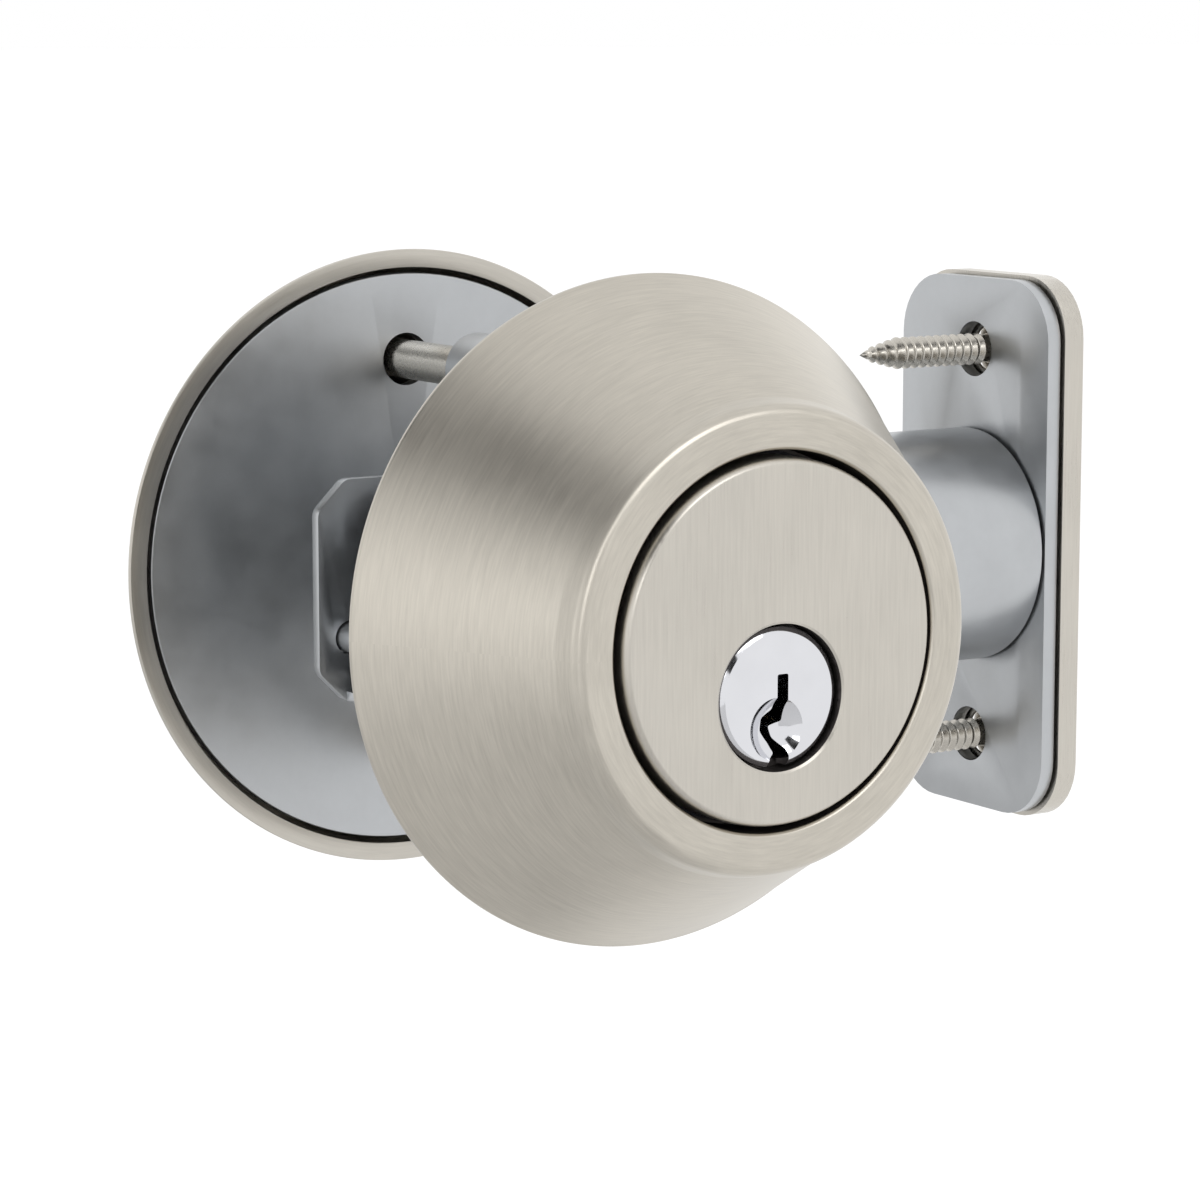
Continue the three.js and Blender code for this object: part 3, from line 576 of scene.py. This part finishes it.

# %% [markdown]
# ## Guard collar
# The collar is turned from one piece: a long cone that a pipe wrench slips off, a rounded nose, a
# flat front ring and a recess for the cylinder's head. Turning the same profile as the frame's, with
# finer corners, keeps its size and gives the nose its soft highlight. The recess walls are then
# picked out by their radius and coloured near black, which is painted shade for the deep gap.

# %% Guard collar
RECESS_R = 17.25
nose = [(20.0 + 1.45 * math.cos(math.radians(a)), -19.75 - 1.75 * math.sin(math.radians(a)))
        for a in (90, 78, 66, 54, 42, 30, 18, 8)]
collar_profile = [
    (31.75, 0), (28.4, 0), (28.4, -2), (22.9, -12.2), (15, -12.2), (15, -16.2),
    (RECESS_R, -16.2), (RECESS_R, COLLAR_FRONT + 0.3), (RECESS_R + 0.3, COLLAR_FRONT), *nose,
    (21.75, -18.9), (31.4, -0.95), (31.75, -0.5),
]
collar = turned("collar_piece", collar_profile, sides=256, corner=0.12, ring=True)
fitted(collar, "collar", "satin_nickel", collar_finish, "guard_collar", smooth=28)
# Painted shade: the recess walls behind the collar's front are coloured near black, so that the gap round
# the head reads dark.
painted_shade_faces(collar, recess_shade_material, lambda at: (
    math.hypot(at.x, at.z) < RECESS_R + 0.05 and at.y > COLLAR_FRONT + 0.5))

# %% [markdown]
# ## Cylinder
# The cylinder is a round bar with a wider head. The face that shows is flat, and its edge rounds
# away deeper than it is wide, which gives a soft bright line beside the dark gap. The plug sits low
# in the face, in a shallow pocket with a small lip. The head is turned and then bored, as the real
# one is, so the cuts are true circles.

# %% Cylinder body
PIN_YS = [sum(span(f"driver_pin_{n}", "Y")) / 2 for n in range(1, 6)]
plug_centre = (0, AXIS_Z)
CYLINDER_SCREWS_AT = [(-11, 2), (11, 2)]
POCKET_R = 6.7
FACE_R, EDGE_WIDE, EDGE_DEEP = 15.95, 0.7, 1.2
HEAD_R = FACE_R + EDGE_WIDE
head_edge = []
for a in range(0, 91, 10):
    t = math.radians(a)
    head_edge.append((FACE_R + EDGE_WIDE * math.sin(t), HEAD_FRONT + EDGE_DEEP * (1 - math.cos(t))))
cylinder = turned("cylinder_piece", [
    (0, HEAD_FRONT), *head_edge, (HEAD_R, -17.4), (14.6, -17.4), (14.6, 6.5), (0, 6.5),
], sides=192, corner=0.05)
combined(cylinder, [
    drill("Y", HEAD_FRONT - 1, 8, 6.05, plug_centre, sides=96),
    drill("Y", HEAD_FRONT - 1, HEAD_FRONT + 2.7, POCKET_R, plug_centre, sides=128),
    drill("Y", HEAD_FRONT - 0.1, HEAD_FRONT + 0.15, 7.05, plug_centre, POCKET_R, sides=128),
    *[drill("Z", 0, 17, 1.6, (0, y)) for y in PIN_YS],
    punched("tool", [(-2.3, -17.3), (2.3, -17.3), (2.3, 3.2), (-2.3, 3.2)], "Z", 13.35, 17),
    *[drill("Y", -5, 8, 1.5, at) for at in CYLINDER_SCREWS_AT],
])
fitted(cylinder, "case", "satin_nickel", face_finish, "cylinder_body", smooth=25)
# Painted shade: the bore round the plug, behind the face, is coloured near black, so that it reads dark.
painted_shade_faces(cylinder, recess_shade_material, lambda at: (
    math.hypot(at.x, at.z - AXIS_Z) < POCKET_R + 0.05 and at.y > HEAD_FRONT + 0.2))

# %% [markdown]
# ## Key plug
# The plug is the small round piece that the key turns. Its keyway is a slot with a groove on one
# side and a ward on the other, so that only the right key's section goes in. A bowl cut with a ball
# cutter leads the key in. We cut the bowl and the slot's outline out of the turned plug, and then
# the five pin holes and the two holes for the retainer's screws.

# %% Key plug
KEYWAY = [
    (-0.18, 2.1), (-0.18, -1.2), (-1.2, -1.9), (-1.3, -3.1), (-0.55, -4.2), (-0.2, -5.1), (-1.05, -5.6),
    (-1.1, -7), (1.1, -7), (1.1, -4.85), (0, -3.8), (-0.3, -2.75), (1, -2.35), (1, 2.1),
]
DISH_R, BALL_R = 2.85, 3.7
DISH_CENTRE = (-0.25, AXIS_Z - 2.85)


def dish_depth(r):
    """How far below the plug's face the ball has cut, at this distance from the bowl's middle."""
    return math.sqrt(BALL_R ** 2 - r ** 2) - math.sqrt(BALL_R ** 2 - DISH_R ** 2)


PLUG_FRONT, PLUG_END = span("plug", "Y")
RETAINER_HOLES = [(side * 2.97, AXIS_Z - side * 2.97) for side in (-1, 1)]
plug = turned("plug_piece", [
    (0, PLUG_FRONT), (5.82, PLUG_FRONT), (6.4, PLUG_FRONT + 0.42), (6.4, PLUG_FRONT + 2),
    (5.9, PLUG_FRONT + 2), (5.9, PLUG_END), (0, PLUG_END),
], centre=plug_centre, sides=128, corner=0.1)
bowl_radii = [DISH_R * math.cos(math.radians(t)) for t in range(0, 91, 6)]
bowl = [(r, PLUG_FRONT + dish_depth(r)) for r in bowl_radii]
dish = turned("tool", [(0, PLUG_FRONT - 0.1), (DISH_R, PLUG_FRONT - 0.1), *bowl],
              centre=DISH_CENTRE, sides=96, corner=0)
combined(plug, [
    dish,
    punched("tool", softened(KEYWAY, 0.2, closed=True), "Y", PLUG_FRONT - 1, PLUG_END + 1, plug_centre),
    *[drill("Z", AXIS_Z - 1.4, AXIS_Z + 8, 1.6, (0, y)) for y in PIN_YS],
    *[drill("Y", 2.8, 8, 0.8, at, sides=24) for at in RETAINER_HOLES],
])
fitted(plug, "keyed_plug", "polished_chrome", chrome, "plug", smooth=25)

# %% [markdown]
# ### Pins and their springs
# Five pairs of brass pins cross from the cylinder into the plug, and a small spring pushes each pair
# down. A spring could be a curve with a round bevel. We sweep the wire along a helix ourselves, so
# that its length and its number of coils are exact and its ends are closed.

# %% A coil spring
def coil_spring(name, radius, wire, low, high, turns, centre, steps=24):
    """A round wire swept along a helix about Z, with flat closed ends."""
    bm = bmesh.new()
    rings = []
    total = int(turns * steps)
    for i in range(total + 1):
        t = i / total
        a = 2 * math.pi * turns * t
        out = Vector((math.cos(a), math.sin(a), 0))
        middle = Vector((centre[0], centre[1], low + wire + (high - low - 2 * wire) * t)) + out * radius
        rings.append([
            bm.verts.new(mm(*(middle + out * wire * math.cos(b) + Vector((0, 0, wire)) * math.sin(b))))
            for b in (2 * math.pi * k / 8 for k in range(8))])
    for a, b in zip(rings, rings[1:]):
        for k in range(8):
            bm.faces.new((a[k], b[k], b[(k + 1) % 8], a[(k + 1) % 8]))
    bm.faces.new(rings[0])
    bm.faces.new(reversed(rings[-1]))
    return mesh_object(name, bm)

# %% [markdown]
# ### The five stacks
# The pins hardly show, but they move, so each is a turned piece with the cone or the rounded ends of
# the real pin. They differ only in length, which the frame's boxes give, so one loop makes all five.
# A spring's upper end stays in the cylinder and its lower end follows the pin. Here each spring is one
# fixed mesh that is not attached to any body.

# %% Pins and pin springs
PIN_R = 1.43
for n, y in enumerate(PIN_YS, 1):
    low, high = span(f"key_pin_{n}", "Z")
    key_pin = turned(f"key_pin_piece_{n}", [
        (0, low), (0.5, low + 0.12), (PIN_R, low + 0.95), (PIN_R, high), (0, high),
    ], "Z", (0, y), 48, corner=0.12)
    fitted(key_pin, f"key_{n}", "brass", brass, f"key_pin_{n}")
    low, high = span(f"driver_pin_{n}", "Z")
    driver = turned(f"driver_pin_piece_{n}", [
        (0, low), (PIN_R, low), (PIN_R, high), (0, high),
    ], "Z", (0, y), 48, corner=0.2)
    fitted(driver, f"driver_{n}", "brass", brass, f"driver_pin_{n}")
    low, high = span(f"pin_spring_{n}", "Z")
    spring = coil_spring(f"pin_spring_piece_{n}", 1.1, 0.17, low + 0.05, high - 0.05, 7, (0, y))
    spring.data.materials.append(spring_steel)
    spring.data.shade_smooth()
    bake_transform(spring)
    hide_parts(f"pin_spring_{n}")
print("pins and springs:", 3 * len(PIN_YS))

# %% [markdown]
# ## Back of the cylinder
# Behind the barrel a post plate carries two threaded posts. The screws from the inside of the door
# pull on them. All the screws here have a cross in the head, so we make a cutter for that first, and
# then a screw with a domed head that uses it. The shank is plain, because it is out of sight.

# %% Screw heads
def cross_recess(axis, low, high, across, centre):
    """Two crossed bars, to cut the slots for a cross-tip screwdriver."""
    tools = []
    for way in (0, 1):
        half = (across / 2, across / 9)
        u, v = half if way == 0 else half[::-1]
        tools.append(punched("tool", [(-u, -v), (u, -v), (u, v), (-u, v)], axis, low, high, centre))
    return tools


def pan_screw(name, head_r, head_h, shank_r, seat, tip, centre):
    """A screw along Y with a domed head that sits on the seat, and its tip at the other end."""
    top = seat + head_h
    profile = [(0, tip), (shank_r, tip), (shank_r, seat), (head_r, seat), (head_r, seat + head_h * 0.55),
               (head_r * 0.75, top), (0, top)]
    made = turned(name, profile, "Y", centre, 48, corner=head_h * 0.2)
    return combined(made, cross_recess("Y", seat + head_h * 0.4, top + 1, head_r * 1.1, centre))

# %% [markdown]
# ### Post plate, posts and retainer
# The plate is punched from thick sheet as two half circles joined by straight sides. The posts are
# turned and riveted into it, so they get a flange and a bore. A brass ring keeps the plug from
# sliding out, and the tailpiece, a cross bar with a flat blade, reaches through the bolt case.

# %% Post plate, posts, retainer and tailpiece
def stadium(radius, reach, steps=24):
    """Two half circles, one above and one below, joined by straight sides."""
    made = []
    for side, start in ((1, 0), (-1, 180)):
        made += [(radius * math.cos(math.radians(start + 180 * k / steps)),
                  side * reach + radius * math.sin(math.radians(start + 180 * k / steps)))
                 for k in range(steps + 1)]
    return made


post_plate = punched("post_plate_piece", stadium(14.4, 10.3), "Y", 6.8, 8.8)
combined(post_plate, [
    drill("Y", 6, 10, 8.6, plug_centre, sides=64),
    *[drill("Y", 6, 10, 1.8, at) for at in CYLINDER_SCREWS_AT],
    *[drill("Y", 6, 10, 2.9, (0, z)) for z in (-POST_Z, POST_Z)],
])
fitted(eased(post_plate, 0.2), "case", "zinc_steel", zinc, "post_plate")

for place, side in (("upper", 1), ("lower", -1)):
    post = turned(f"post_{place}_piece", [
        (0, 6.9), (2.6, 6.9), (2.6, 9.1), (3.7, 9.1), (3.7, 30.6), (3.3, 31), (2.3, 31), (2.3, 14), (0, 14),
    ], centre=(0, side * POST_Z), sides=48, corner=0.15)
    fitted(post, "case", "zinc_steel", zinc, f"post_{place}")
for place, at in zip(("left", "right"), CYLINDER_SCREWS_AT):
    screw = pan_screw(f"cylinder_screw_{place}_piece", 2.9, 1.9, 1.3, 9.1, -4, at)
    fitted(screw, "case", "zinc_steel", zinc, f"cylinder_screw_{place}")

retainer = turned("plug_retainer_piece", [
    (2.4, 6.95), (8, 6.95), (8, 7.95), (2.4, 7.95),
], centre=plug_centre, sides=96, corner=0.15, ring=True)
combined(retainer, [drill("Y", 6, 9, 0.95, at, sides=24) for at in RETAINER_HOLES])
fitted(retainer, "keyed_plug", "brass", ring_brass, "plug_retainer")
for n, at in enumerate(reversed(RETAINER_HOLES), 1):
    screw = pan_screw(f"retainer_screw_piece_{n}", 1.5, 0.9, 0.6, 8.2, 3.2, at)
    fitted(screw, "keyed_plug", "zinc_steel", zinc, f"retainer_screw_{n}")

foot_outline = [(-1.1, -3.7), (1.1, -3.7), (1.1, 3.7), (-1.1, 3.7)]
blade_outline = [(-0.75, -2), (0.75, -2), (0.75, 2), (-0.75, 2)]
tailpiece = punched("tailpiece_piece", foot_outline, "Y", 4.1, 6.4, plug_centre)
blade = punched("tool", blade_outline, "Y", 5, span("tailpiece", "Y")[1], plug_centre)
fitted(eased(combined(tailpiece, [blade], "UNION"), 0.15), "spindle", "zinc_steel", zinc, "tailpiece")

# %% [markdown]
# ## Bolt and bolt case
# The bolt slides out of a steel tube behind the faceplate. The faceplate and the bolt are finished
# like the trim, because they show in the door's edge, and the rest is plain zinc plate. Faceplate
# and backing plate are the same sheet in two sizes, so one helper punches and drills both. The wood
# screws get plain rings for a thread, which shrink towards the tip.

# %% Faceplate, backing plate and their screws
BOLT_WIDE, BOLT_HIGH, BOLT_CORNER = 13.5, 20.5, 5
FACE_SCREW_Z = 20.6


def edge_sheet(name, width, height, corner, low, high, hole_grow, hole_r, sink=None):
    """A sheet in the door's edge, with a rounded bolt opening and two screw holes."""
    made = punched(name, rounded_rectangle(width, height, corner), "X", low, high, (MID, 0))
    opening = rounded_rectangle(
        BOLT_WIDE + 2 * hole_grow, BOLT_HIGH + 2 * hole_grow, BOLT_CORNER + hole_grow)
    tools = [punched("tool", opening, "X", low - 1, high + 1, (MID, 0))]
    for side in (-1, 1):
        at = (MID, side * FACE_SCREW_Z)
        tools.append(drill("X", low - 1, high + 1, hole_r, at))
        if sink:
            tools.append(drill("X", high - 2.1, high + 0.2, hole_r, at, top_radius=sink))
    return eased(combined(made, tools), 0.25, 3, angle=35)


face_low, face_high = span("faceplate", "X")
faceplate = edge_sheet("faceplate_piece", 25.4, 57.15, 6.35, face_low, face_high, 0.35, 2.4, sink=5.2)
fitted(faceplate, "case", "satin_nickel", edge_finish, "faceplate")
backing = edge_sheet("backing_plate_piece", 24.6, 56.35, 6.35, *span("backing_plate", "X"), 0.6, 2.9)
fitted(backing, "case", "zinc_steel", zinc, "backing_plate")

for place, side in (("upper", 1), ("lower", -1)):
    top = face_high - 0.1
    centre = (MID, side * FACE_SCREW_Z)
    thread = [(0, 41), (0.5, 42)]
    for k in range(14):
        x = 42.2 + k * 1.05
        core, crest = min(0.45 + 0.3 * k, 1.25), min(0.9 + 0.28 * k, 1.7)
        thread += [(core, x), (crest, x + 0.45), (core, x + 0.85)]
    screw = turned(f"face_screw_{place}_piece", [
        *thread, (1.6, top - 2.2), (4.1, top - 0.3), (3.9, top), (0, top),
    ], "X", centre, 48, corner=0.1)
    combined(screw, cross_recess("X", top - 1.3, top + 1, 4.6, centre))
    fitted(screw, "case", "satin_nickel", screw_finish, f"face_screw_{place}")

# %% [markdown]
# ### Case tube and side plates
# The tube is drawn steel and fills the hole in the door's edge. Two side plates sit in its end and
# hold the crank between them, and two rivets with domed heads keep them together. The inner plate
# has feet bent across to the outer one. We join them on before its edges are rounded, so that the
# rounding runs over both.

# %% Case tube, side plates and rivets
tube = turned("case_tube_piece", [(11.3, 18), (12.3, 18), (12.3, 55.7), (11.3, 55.7)],
              "X", (MID, 0), 128, corner=0.2, ring=True)
fitted(tube, "case", "zinc_steel", zinc, "case_tube")

SIDE_PLATE = [(-17, -10.9), (17.7, -10.9), (17.7, -8.6), (21.4, -8.6), (21.4, 8.6), (17.7, 8.6),
              (17.7, 10.9), (-17, 10.9), (-20, 7.9), (-20, -7.9)]
RIVETS_AT = ((-16.5, -4.6), (14, -7.3))


def side_plate(name, low, high):
    made = punched(name, softened(SIDE_PLATE, 0.6, closed=True), "Y", low, high)
    return combined(made, [drill("Y", low - 1, high + 1, 5.2, plug_centre, sides=64),
                           *[drill("Y", low - 1, high + 1, 1.7, at) for at in RIVETS_AT]])


outer_plate = side_plate("case_plate_outer_piece", MID - 6.1, MID - 4.9)
fitted(eased(outer_plate, 0.15), "case", "zinc_steel", zinc, "case_plate_outer")
inner_plate = side_plate("case_plate_inner_piece", MID + 4.9, MID + 6.1)
feet = [punched("tool", [(x0, -10.9), (x1, -10.9), (x1, -9.9), (x0, -9.9)], "Y", MID - 4.6, MID + 5.1)
        for x0, x1 in ((-17, -8.5), (8, 17.7))]
fitted(eased(combined(inner_plate, feet, "UNION"), 0.15), "case", "zinc_steel", zinc, "case_plate_inner")
for n, at in enumerate(RIVETS_AT, 1):
    rivet = turned(f"case_rivet_piece_{n}", [
        (0, MID - 7.1), (1.6, MID - 7.1), (2.45, MID - 6.5), (2.45, MID - 6.25), (1.5, MID - 6.25),
        (1.5, MID + 6.25), (2.45, MID + 6.25), (2.45, MID + 6.5), (1.6, MID + 7.1), (0, MID + 7.1),
    ], centre=at, sides=48, corner=0.2)
    fitted(rivet, "case", "zinc_steel", zinc, f"case_rivet_{n}")

# %% [markdown]
# ### Bolt
# The bolt is a solid bar with rounded corners and a small chamfer round its end. It is cut away at
# the back for the tail bar, and bored for the hard roller pin that defeats a saw.

# %% Bolt
ROLLER_AT = (MID, -4.6)
TAIL_RIVETS_AT = ((26, 6.3), (31, 6.3))
DRIVE_PIN_AT = (-12.7, 7.8)
bolt_low, bolt_high = span("bolt", "X")
bolt_outline = rounded_rectangle(BOLT_WIDE, BOLT_HIGH, BOLT_CORNER, 14)
bolt = punched("bolt_piece", bolt_outline, "X", bolt_low, bolt_high, (MID, 0))
eased(bolt, 0.7, 3, angle=50)
combined(bolt, [
    punched("tool", [(-1.6, 2.3), (1.6, 2.3), (1.6, 20), (-1.6, 20)], "X", bolt_low - 1, 33.8, (MID, 0)),
    drill("X", bolt_low - 1, bolt_high - 3.2, 3.5, ROLLER_AT),
    *[drill("Y", MID - 9, MID + 9, 1.45, at, sides=32) for at in TAIL_RIVETS_AT],
])
fitted(bolt, "bolt", "satin_nickel", bolt_finish, "bolt", smooth=28)

roller_end = bolt_high - 3.6
roller = turned("roller_pin_piece", [(0, 28), (3.2, 28), (3.2, roller_end), (0, roller_end)],
                "X", ROLLER_AT, 64, corner=0.4)
fitted(roller, "roller", "hard_steel", hard_steel, "roller_pin")

# %% [markdown]
# ### Tail bar and drive pin
# A flat bar is riveted into the slot in the bolt and carries a hard pin at its far end. The crank's
# fork pushes on that pin. The bar is punched and drilled, and the pin and the rivets are turned, so
# that their heads are truly round.

# %% Tail bar, drive pin and rivets
TAIL_BAR = [(-14.5, 2.6), (33.5, 2.6), (33.5, 10), (-14.5, 10), (-16, 8.5), (-16, 4.1)]
tail = punched("tail_bar_piece", softened(TAIL_BAR, 0.6, closed=True), "Y", MID - 1.4, MID + 1.4)
combined(tail, [
    drill("Y", MID - 3, MID + 3, 1.75, DRIVE_PIN_AT),
    *[drill("Y", MID - 3, MID + 3, 1.45, at, sides=32) for at in TAIL_RIVETS_AT],
])
fitted(eased(tail, 0.2), "bolt", "zinc_steel", zinc, "tail_bar")
drive_pin = turned("drive_pin_piece", [
    (0, MID - 4.4), (1.4, MID - 4.4), (1.6, MID - 4.2), (1.6, MID + 1.6),
    (2.6, MID + 1.6), (2.6, MID + 2.3), (2.1, MID + 2.6), (0, MID + 2.6),
], centre=DRIVE_PIN_AT, sides=48, corner=0.12)
fitted(drive_pin, "bolt", "hard_steel", hard_steel, "drive_pin")
for n, at in enumerate(TAIL_RIVETS_AT, 1):
    rivet = turned(f"tail_rivet_piece_{n}", [
        (0, MID - 6.4), (1.25, MID - 6.4), (1.25, MID + 6.4), (0, MID + 6.4),
    ], centre=at, sides=32, corner=0.2)
    fitted(rivet, "bolt", "hard_steel", hard_steel, f"tail_rivet_{n}")

# %% [markdown]
# ## Inside rose
# The rose is drawn from sheet: a shallow cone with a flat front, two countersunk holes for the long
# screws and a hole for the turn piece. It is brushed round its axis like the collar.

# %% Inside rose and its plate
ROSE_FRONT = span("inner_rose", "Y")[1]
rose_nose = [(26 + 1.6 * math.cos(math.radians(a)), ROSE_FRONT - 1.6 + 1.6 * math.sin(math.radians(a)))
             for a in (0, 15, 30, 45, 60, 75, 90)]
rose = turned("rose_piece", [
    (0, ROSE_FRONT - 1.6), (25.2, ROSE_FRONT - 1.6), (29.9, DOOR + 2.4), (29.9, DOOR), (31.75, DOOR),
    (31.75, DOOR + 0.5), (31.5, DOOR + 0.9), *rose_nose, (0, ROSE_FRONT),
], sides=192, corner=0.15)
combined(rose, [
    drill("Y", ROSE_FRONT - 3, ROSE_FRONT + 1, 6.25, plug_centre, sides=96),
    *[drill("Y", ROSE_FRONT - 2.3, ROSE_FRONT + 0.7, 2.45, (0, z), 5.45, sides=64)
      for z in (-POST_Z, POST_Z)],
])
rose_finish = satin_nickel("satin_nickel_rose", anisotropy=0.7, roughness=0.33)
fitted(rose, "case", "satin_nickel", rose_finish, "inner_rose", smooth=28)

plate_low, plate_high = span("inside_plate", "Y")
plate = turned("inside_plate_piece", [
    (0, plate_low), (29.3, plate_low), (29.3, plate_high), (0, plate_high),
], sides=128, corner=0.2)
combined(plate, [
    drill("Y", plate_low - 1, plate_high + 1, 9, plug_centre, sides=64),
    *[drill("Y", plate_low - 1, plate_high + 1, 2.7, (0, z)) for z in (-POST_Z, POST_Z)],
])
fitted(plate, "case", "zinc_steel", zinc, "inside_plate")

# %% [markdown]
# ### Through screws
# Two long screws from the inside pull the whole lock together. A real thread is a helix, but at this
# size plain rings look the same, need far fewer faces and keep the profile easy to read.

# %% Through screws
for place, side in (("upper", 1), ("lower", -1)):
    centre = (0, side * POST_Z)
    top = span(f"through_screw_{place}", "Y")[1]
    thread = [(0, 20), (1.5, 20)]
    for k in range(16):
        y = 20.4 + k * 0.8
        thread += [(1.75, y), (2.1, y + 0.4)]
    screw = turned(f"through_screw_{place}_piece", [
        *thread, (1.9, 33.4), (2.0, 34), (2.0, top - 2.6), (4.3, top - 0.4), (4.1, top - 0.15),
        (2.6, top), (0, top),
    ], "Y", centre, 64, corner=0.08)
    combined(screw, cross_recess("Y", top - 1.4, top + 1, 5.2, centre))
    fitted(screw, "case", "satin_nickel", screw_finish, f"through_screw_{place}")

# %% [markdown]
# ## Turn piece
# Fingers grip the paddle of the turn piece, so all of its edges are well rounded. The paddle is
# punched from its side outline, eased with a wide bevel and then joined to the turned boss.

# %% Turn piece
def curve(start, control, end, steps=10):
    """Points on a smooth curve that leaves the start towards the control point."""
    a, b, c = Vector(start), Vector(control), Vector(end)
    made = []
    for k in range(1, steps + 1):
        t = k / steps
        made.append(tuple(a * (1 - t) ** 2 + b * 2 * t * (1 - t) + c * t * t))
    return made


base, tip = ROSE_FRONT + 1.9, span("turn_piece", "Y")[1]
side_outline = [(base, -7)]
side_outline += curve((base, -7), (base + 3.5, -7.4), (base + 5.5, -13.5))
side_outline += curve((base + 5.5, -13.5), (base + 7, -17.6), (base + 11, -17.6))
side_outline += curve((base + 11, -17.6), (tip, -17.6), (tip, -11.5))
side_outline += [(y, -z) for y, z in reversed(side_outline)]
paddle = punched("turn_piece_piece", side_outline, "X", -3.6, 3.6, (0, AXIS_Z))
eased(paddle, 1.5, 5, angle=40)
boss = turned("tool", [
    (0, 47.2), (6, 47.2), (6, 50.65), (5.1, 50.65), (5.1, 51.65), (6, 51.65), (6, ROSE_FRONT + 0.35),
    (9.5, ROSE_FRONT + 0.35), (9.5, ROSE_FRONT + 1.7), (8.7, ROSE_FRONT + 2.5), (0, ROSE_FRONT + 2.5),
], centre=plug_centre, sides=96, corner=0.3)
combined(paddle, [boss], "UNION")
slot_outline = [(-0.9, -2.15), (0.9, -2.15), (0.9, 2.15), (-0.9, 2.15)]
combined(paddle, [punched("tool", slot_outline, "Y", 46, 55.6, plug_centre)])
fitted(paddle, "spindle", "satin_nickel", grip_finish, "turn_piece", smooth=40)

# %% [markdown]
# ### Clip and washer
# A spring clip snaps into the groove in the boss and keeps the turn piece in the rose, and a nylon
# washer lets it turn quietly. The clip is an open ring, so its outline runs out along one arc and
# back along a smaller one.

# %% Clip and washer
arc = [math.radians(35 + 290 * k / 40) for k in range(41)]
clip_outline = [(8.2 * math.cos(a), 8.2 * math.sin(a)) for a in arc]
clip_outline += [(5.3 * math.cos(a), 5.3 * math.sin(a)) for a in reversed(arc)]
clip = punched("turn_clip_piece", clip_outline, "Y", 50.8, 51.5, plug_centre)
fitted(eased(clip, 0.12), "spindle", "spring_steel", spring_steel, "turn_clip")
washer = turned("turn_washer_piece", [
    (6.25, 51.85), (9.4, 51.85), (9.4, 52.4), (6.25, 52.4),
], centre=plug_centre, sides=96, corner=0.15, ring=True)
fitted(washer, "case", "nylon", nylon, "turn_washer")

# %% [markdown]
# ## Pieces that keep their frame shape
# A few pieces are already right as they came: the crank, the detent leaf, the wave washer and the
# strip over the pin chambers. They are flat or bent sheet that a new mesh wouldn't improve, so they
# only need a colour: a metal finish, or for the wave washer a near-black painted shade.

# %% Finishes for the kept pieces
KEPT = {"crank": zinc, "detent_leaf": spring_steel, "wave_washer": washer_painted_shade, "chamber_cap": ring_brass}
for node, material in KEPT.items():
    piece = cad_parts[node]
    for slot in piece.material_slots:
        slot.material = material
    print(node, "is finished in", material.name)
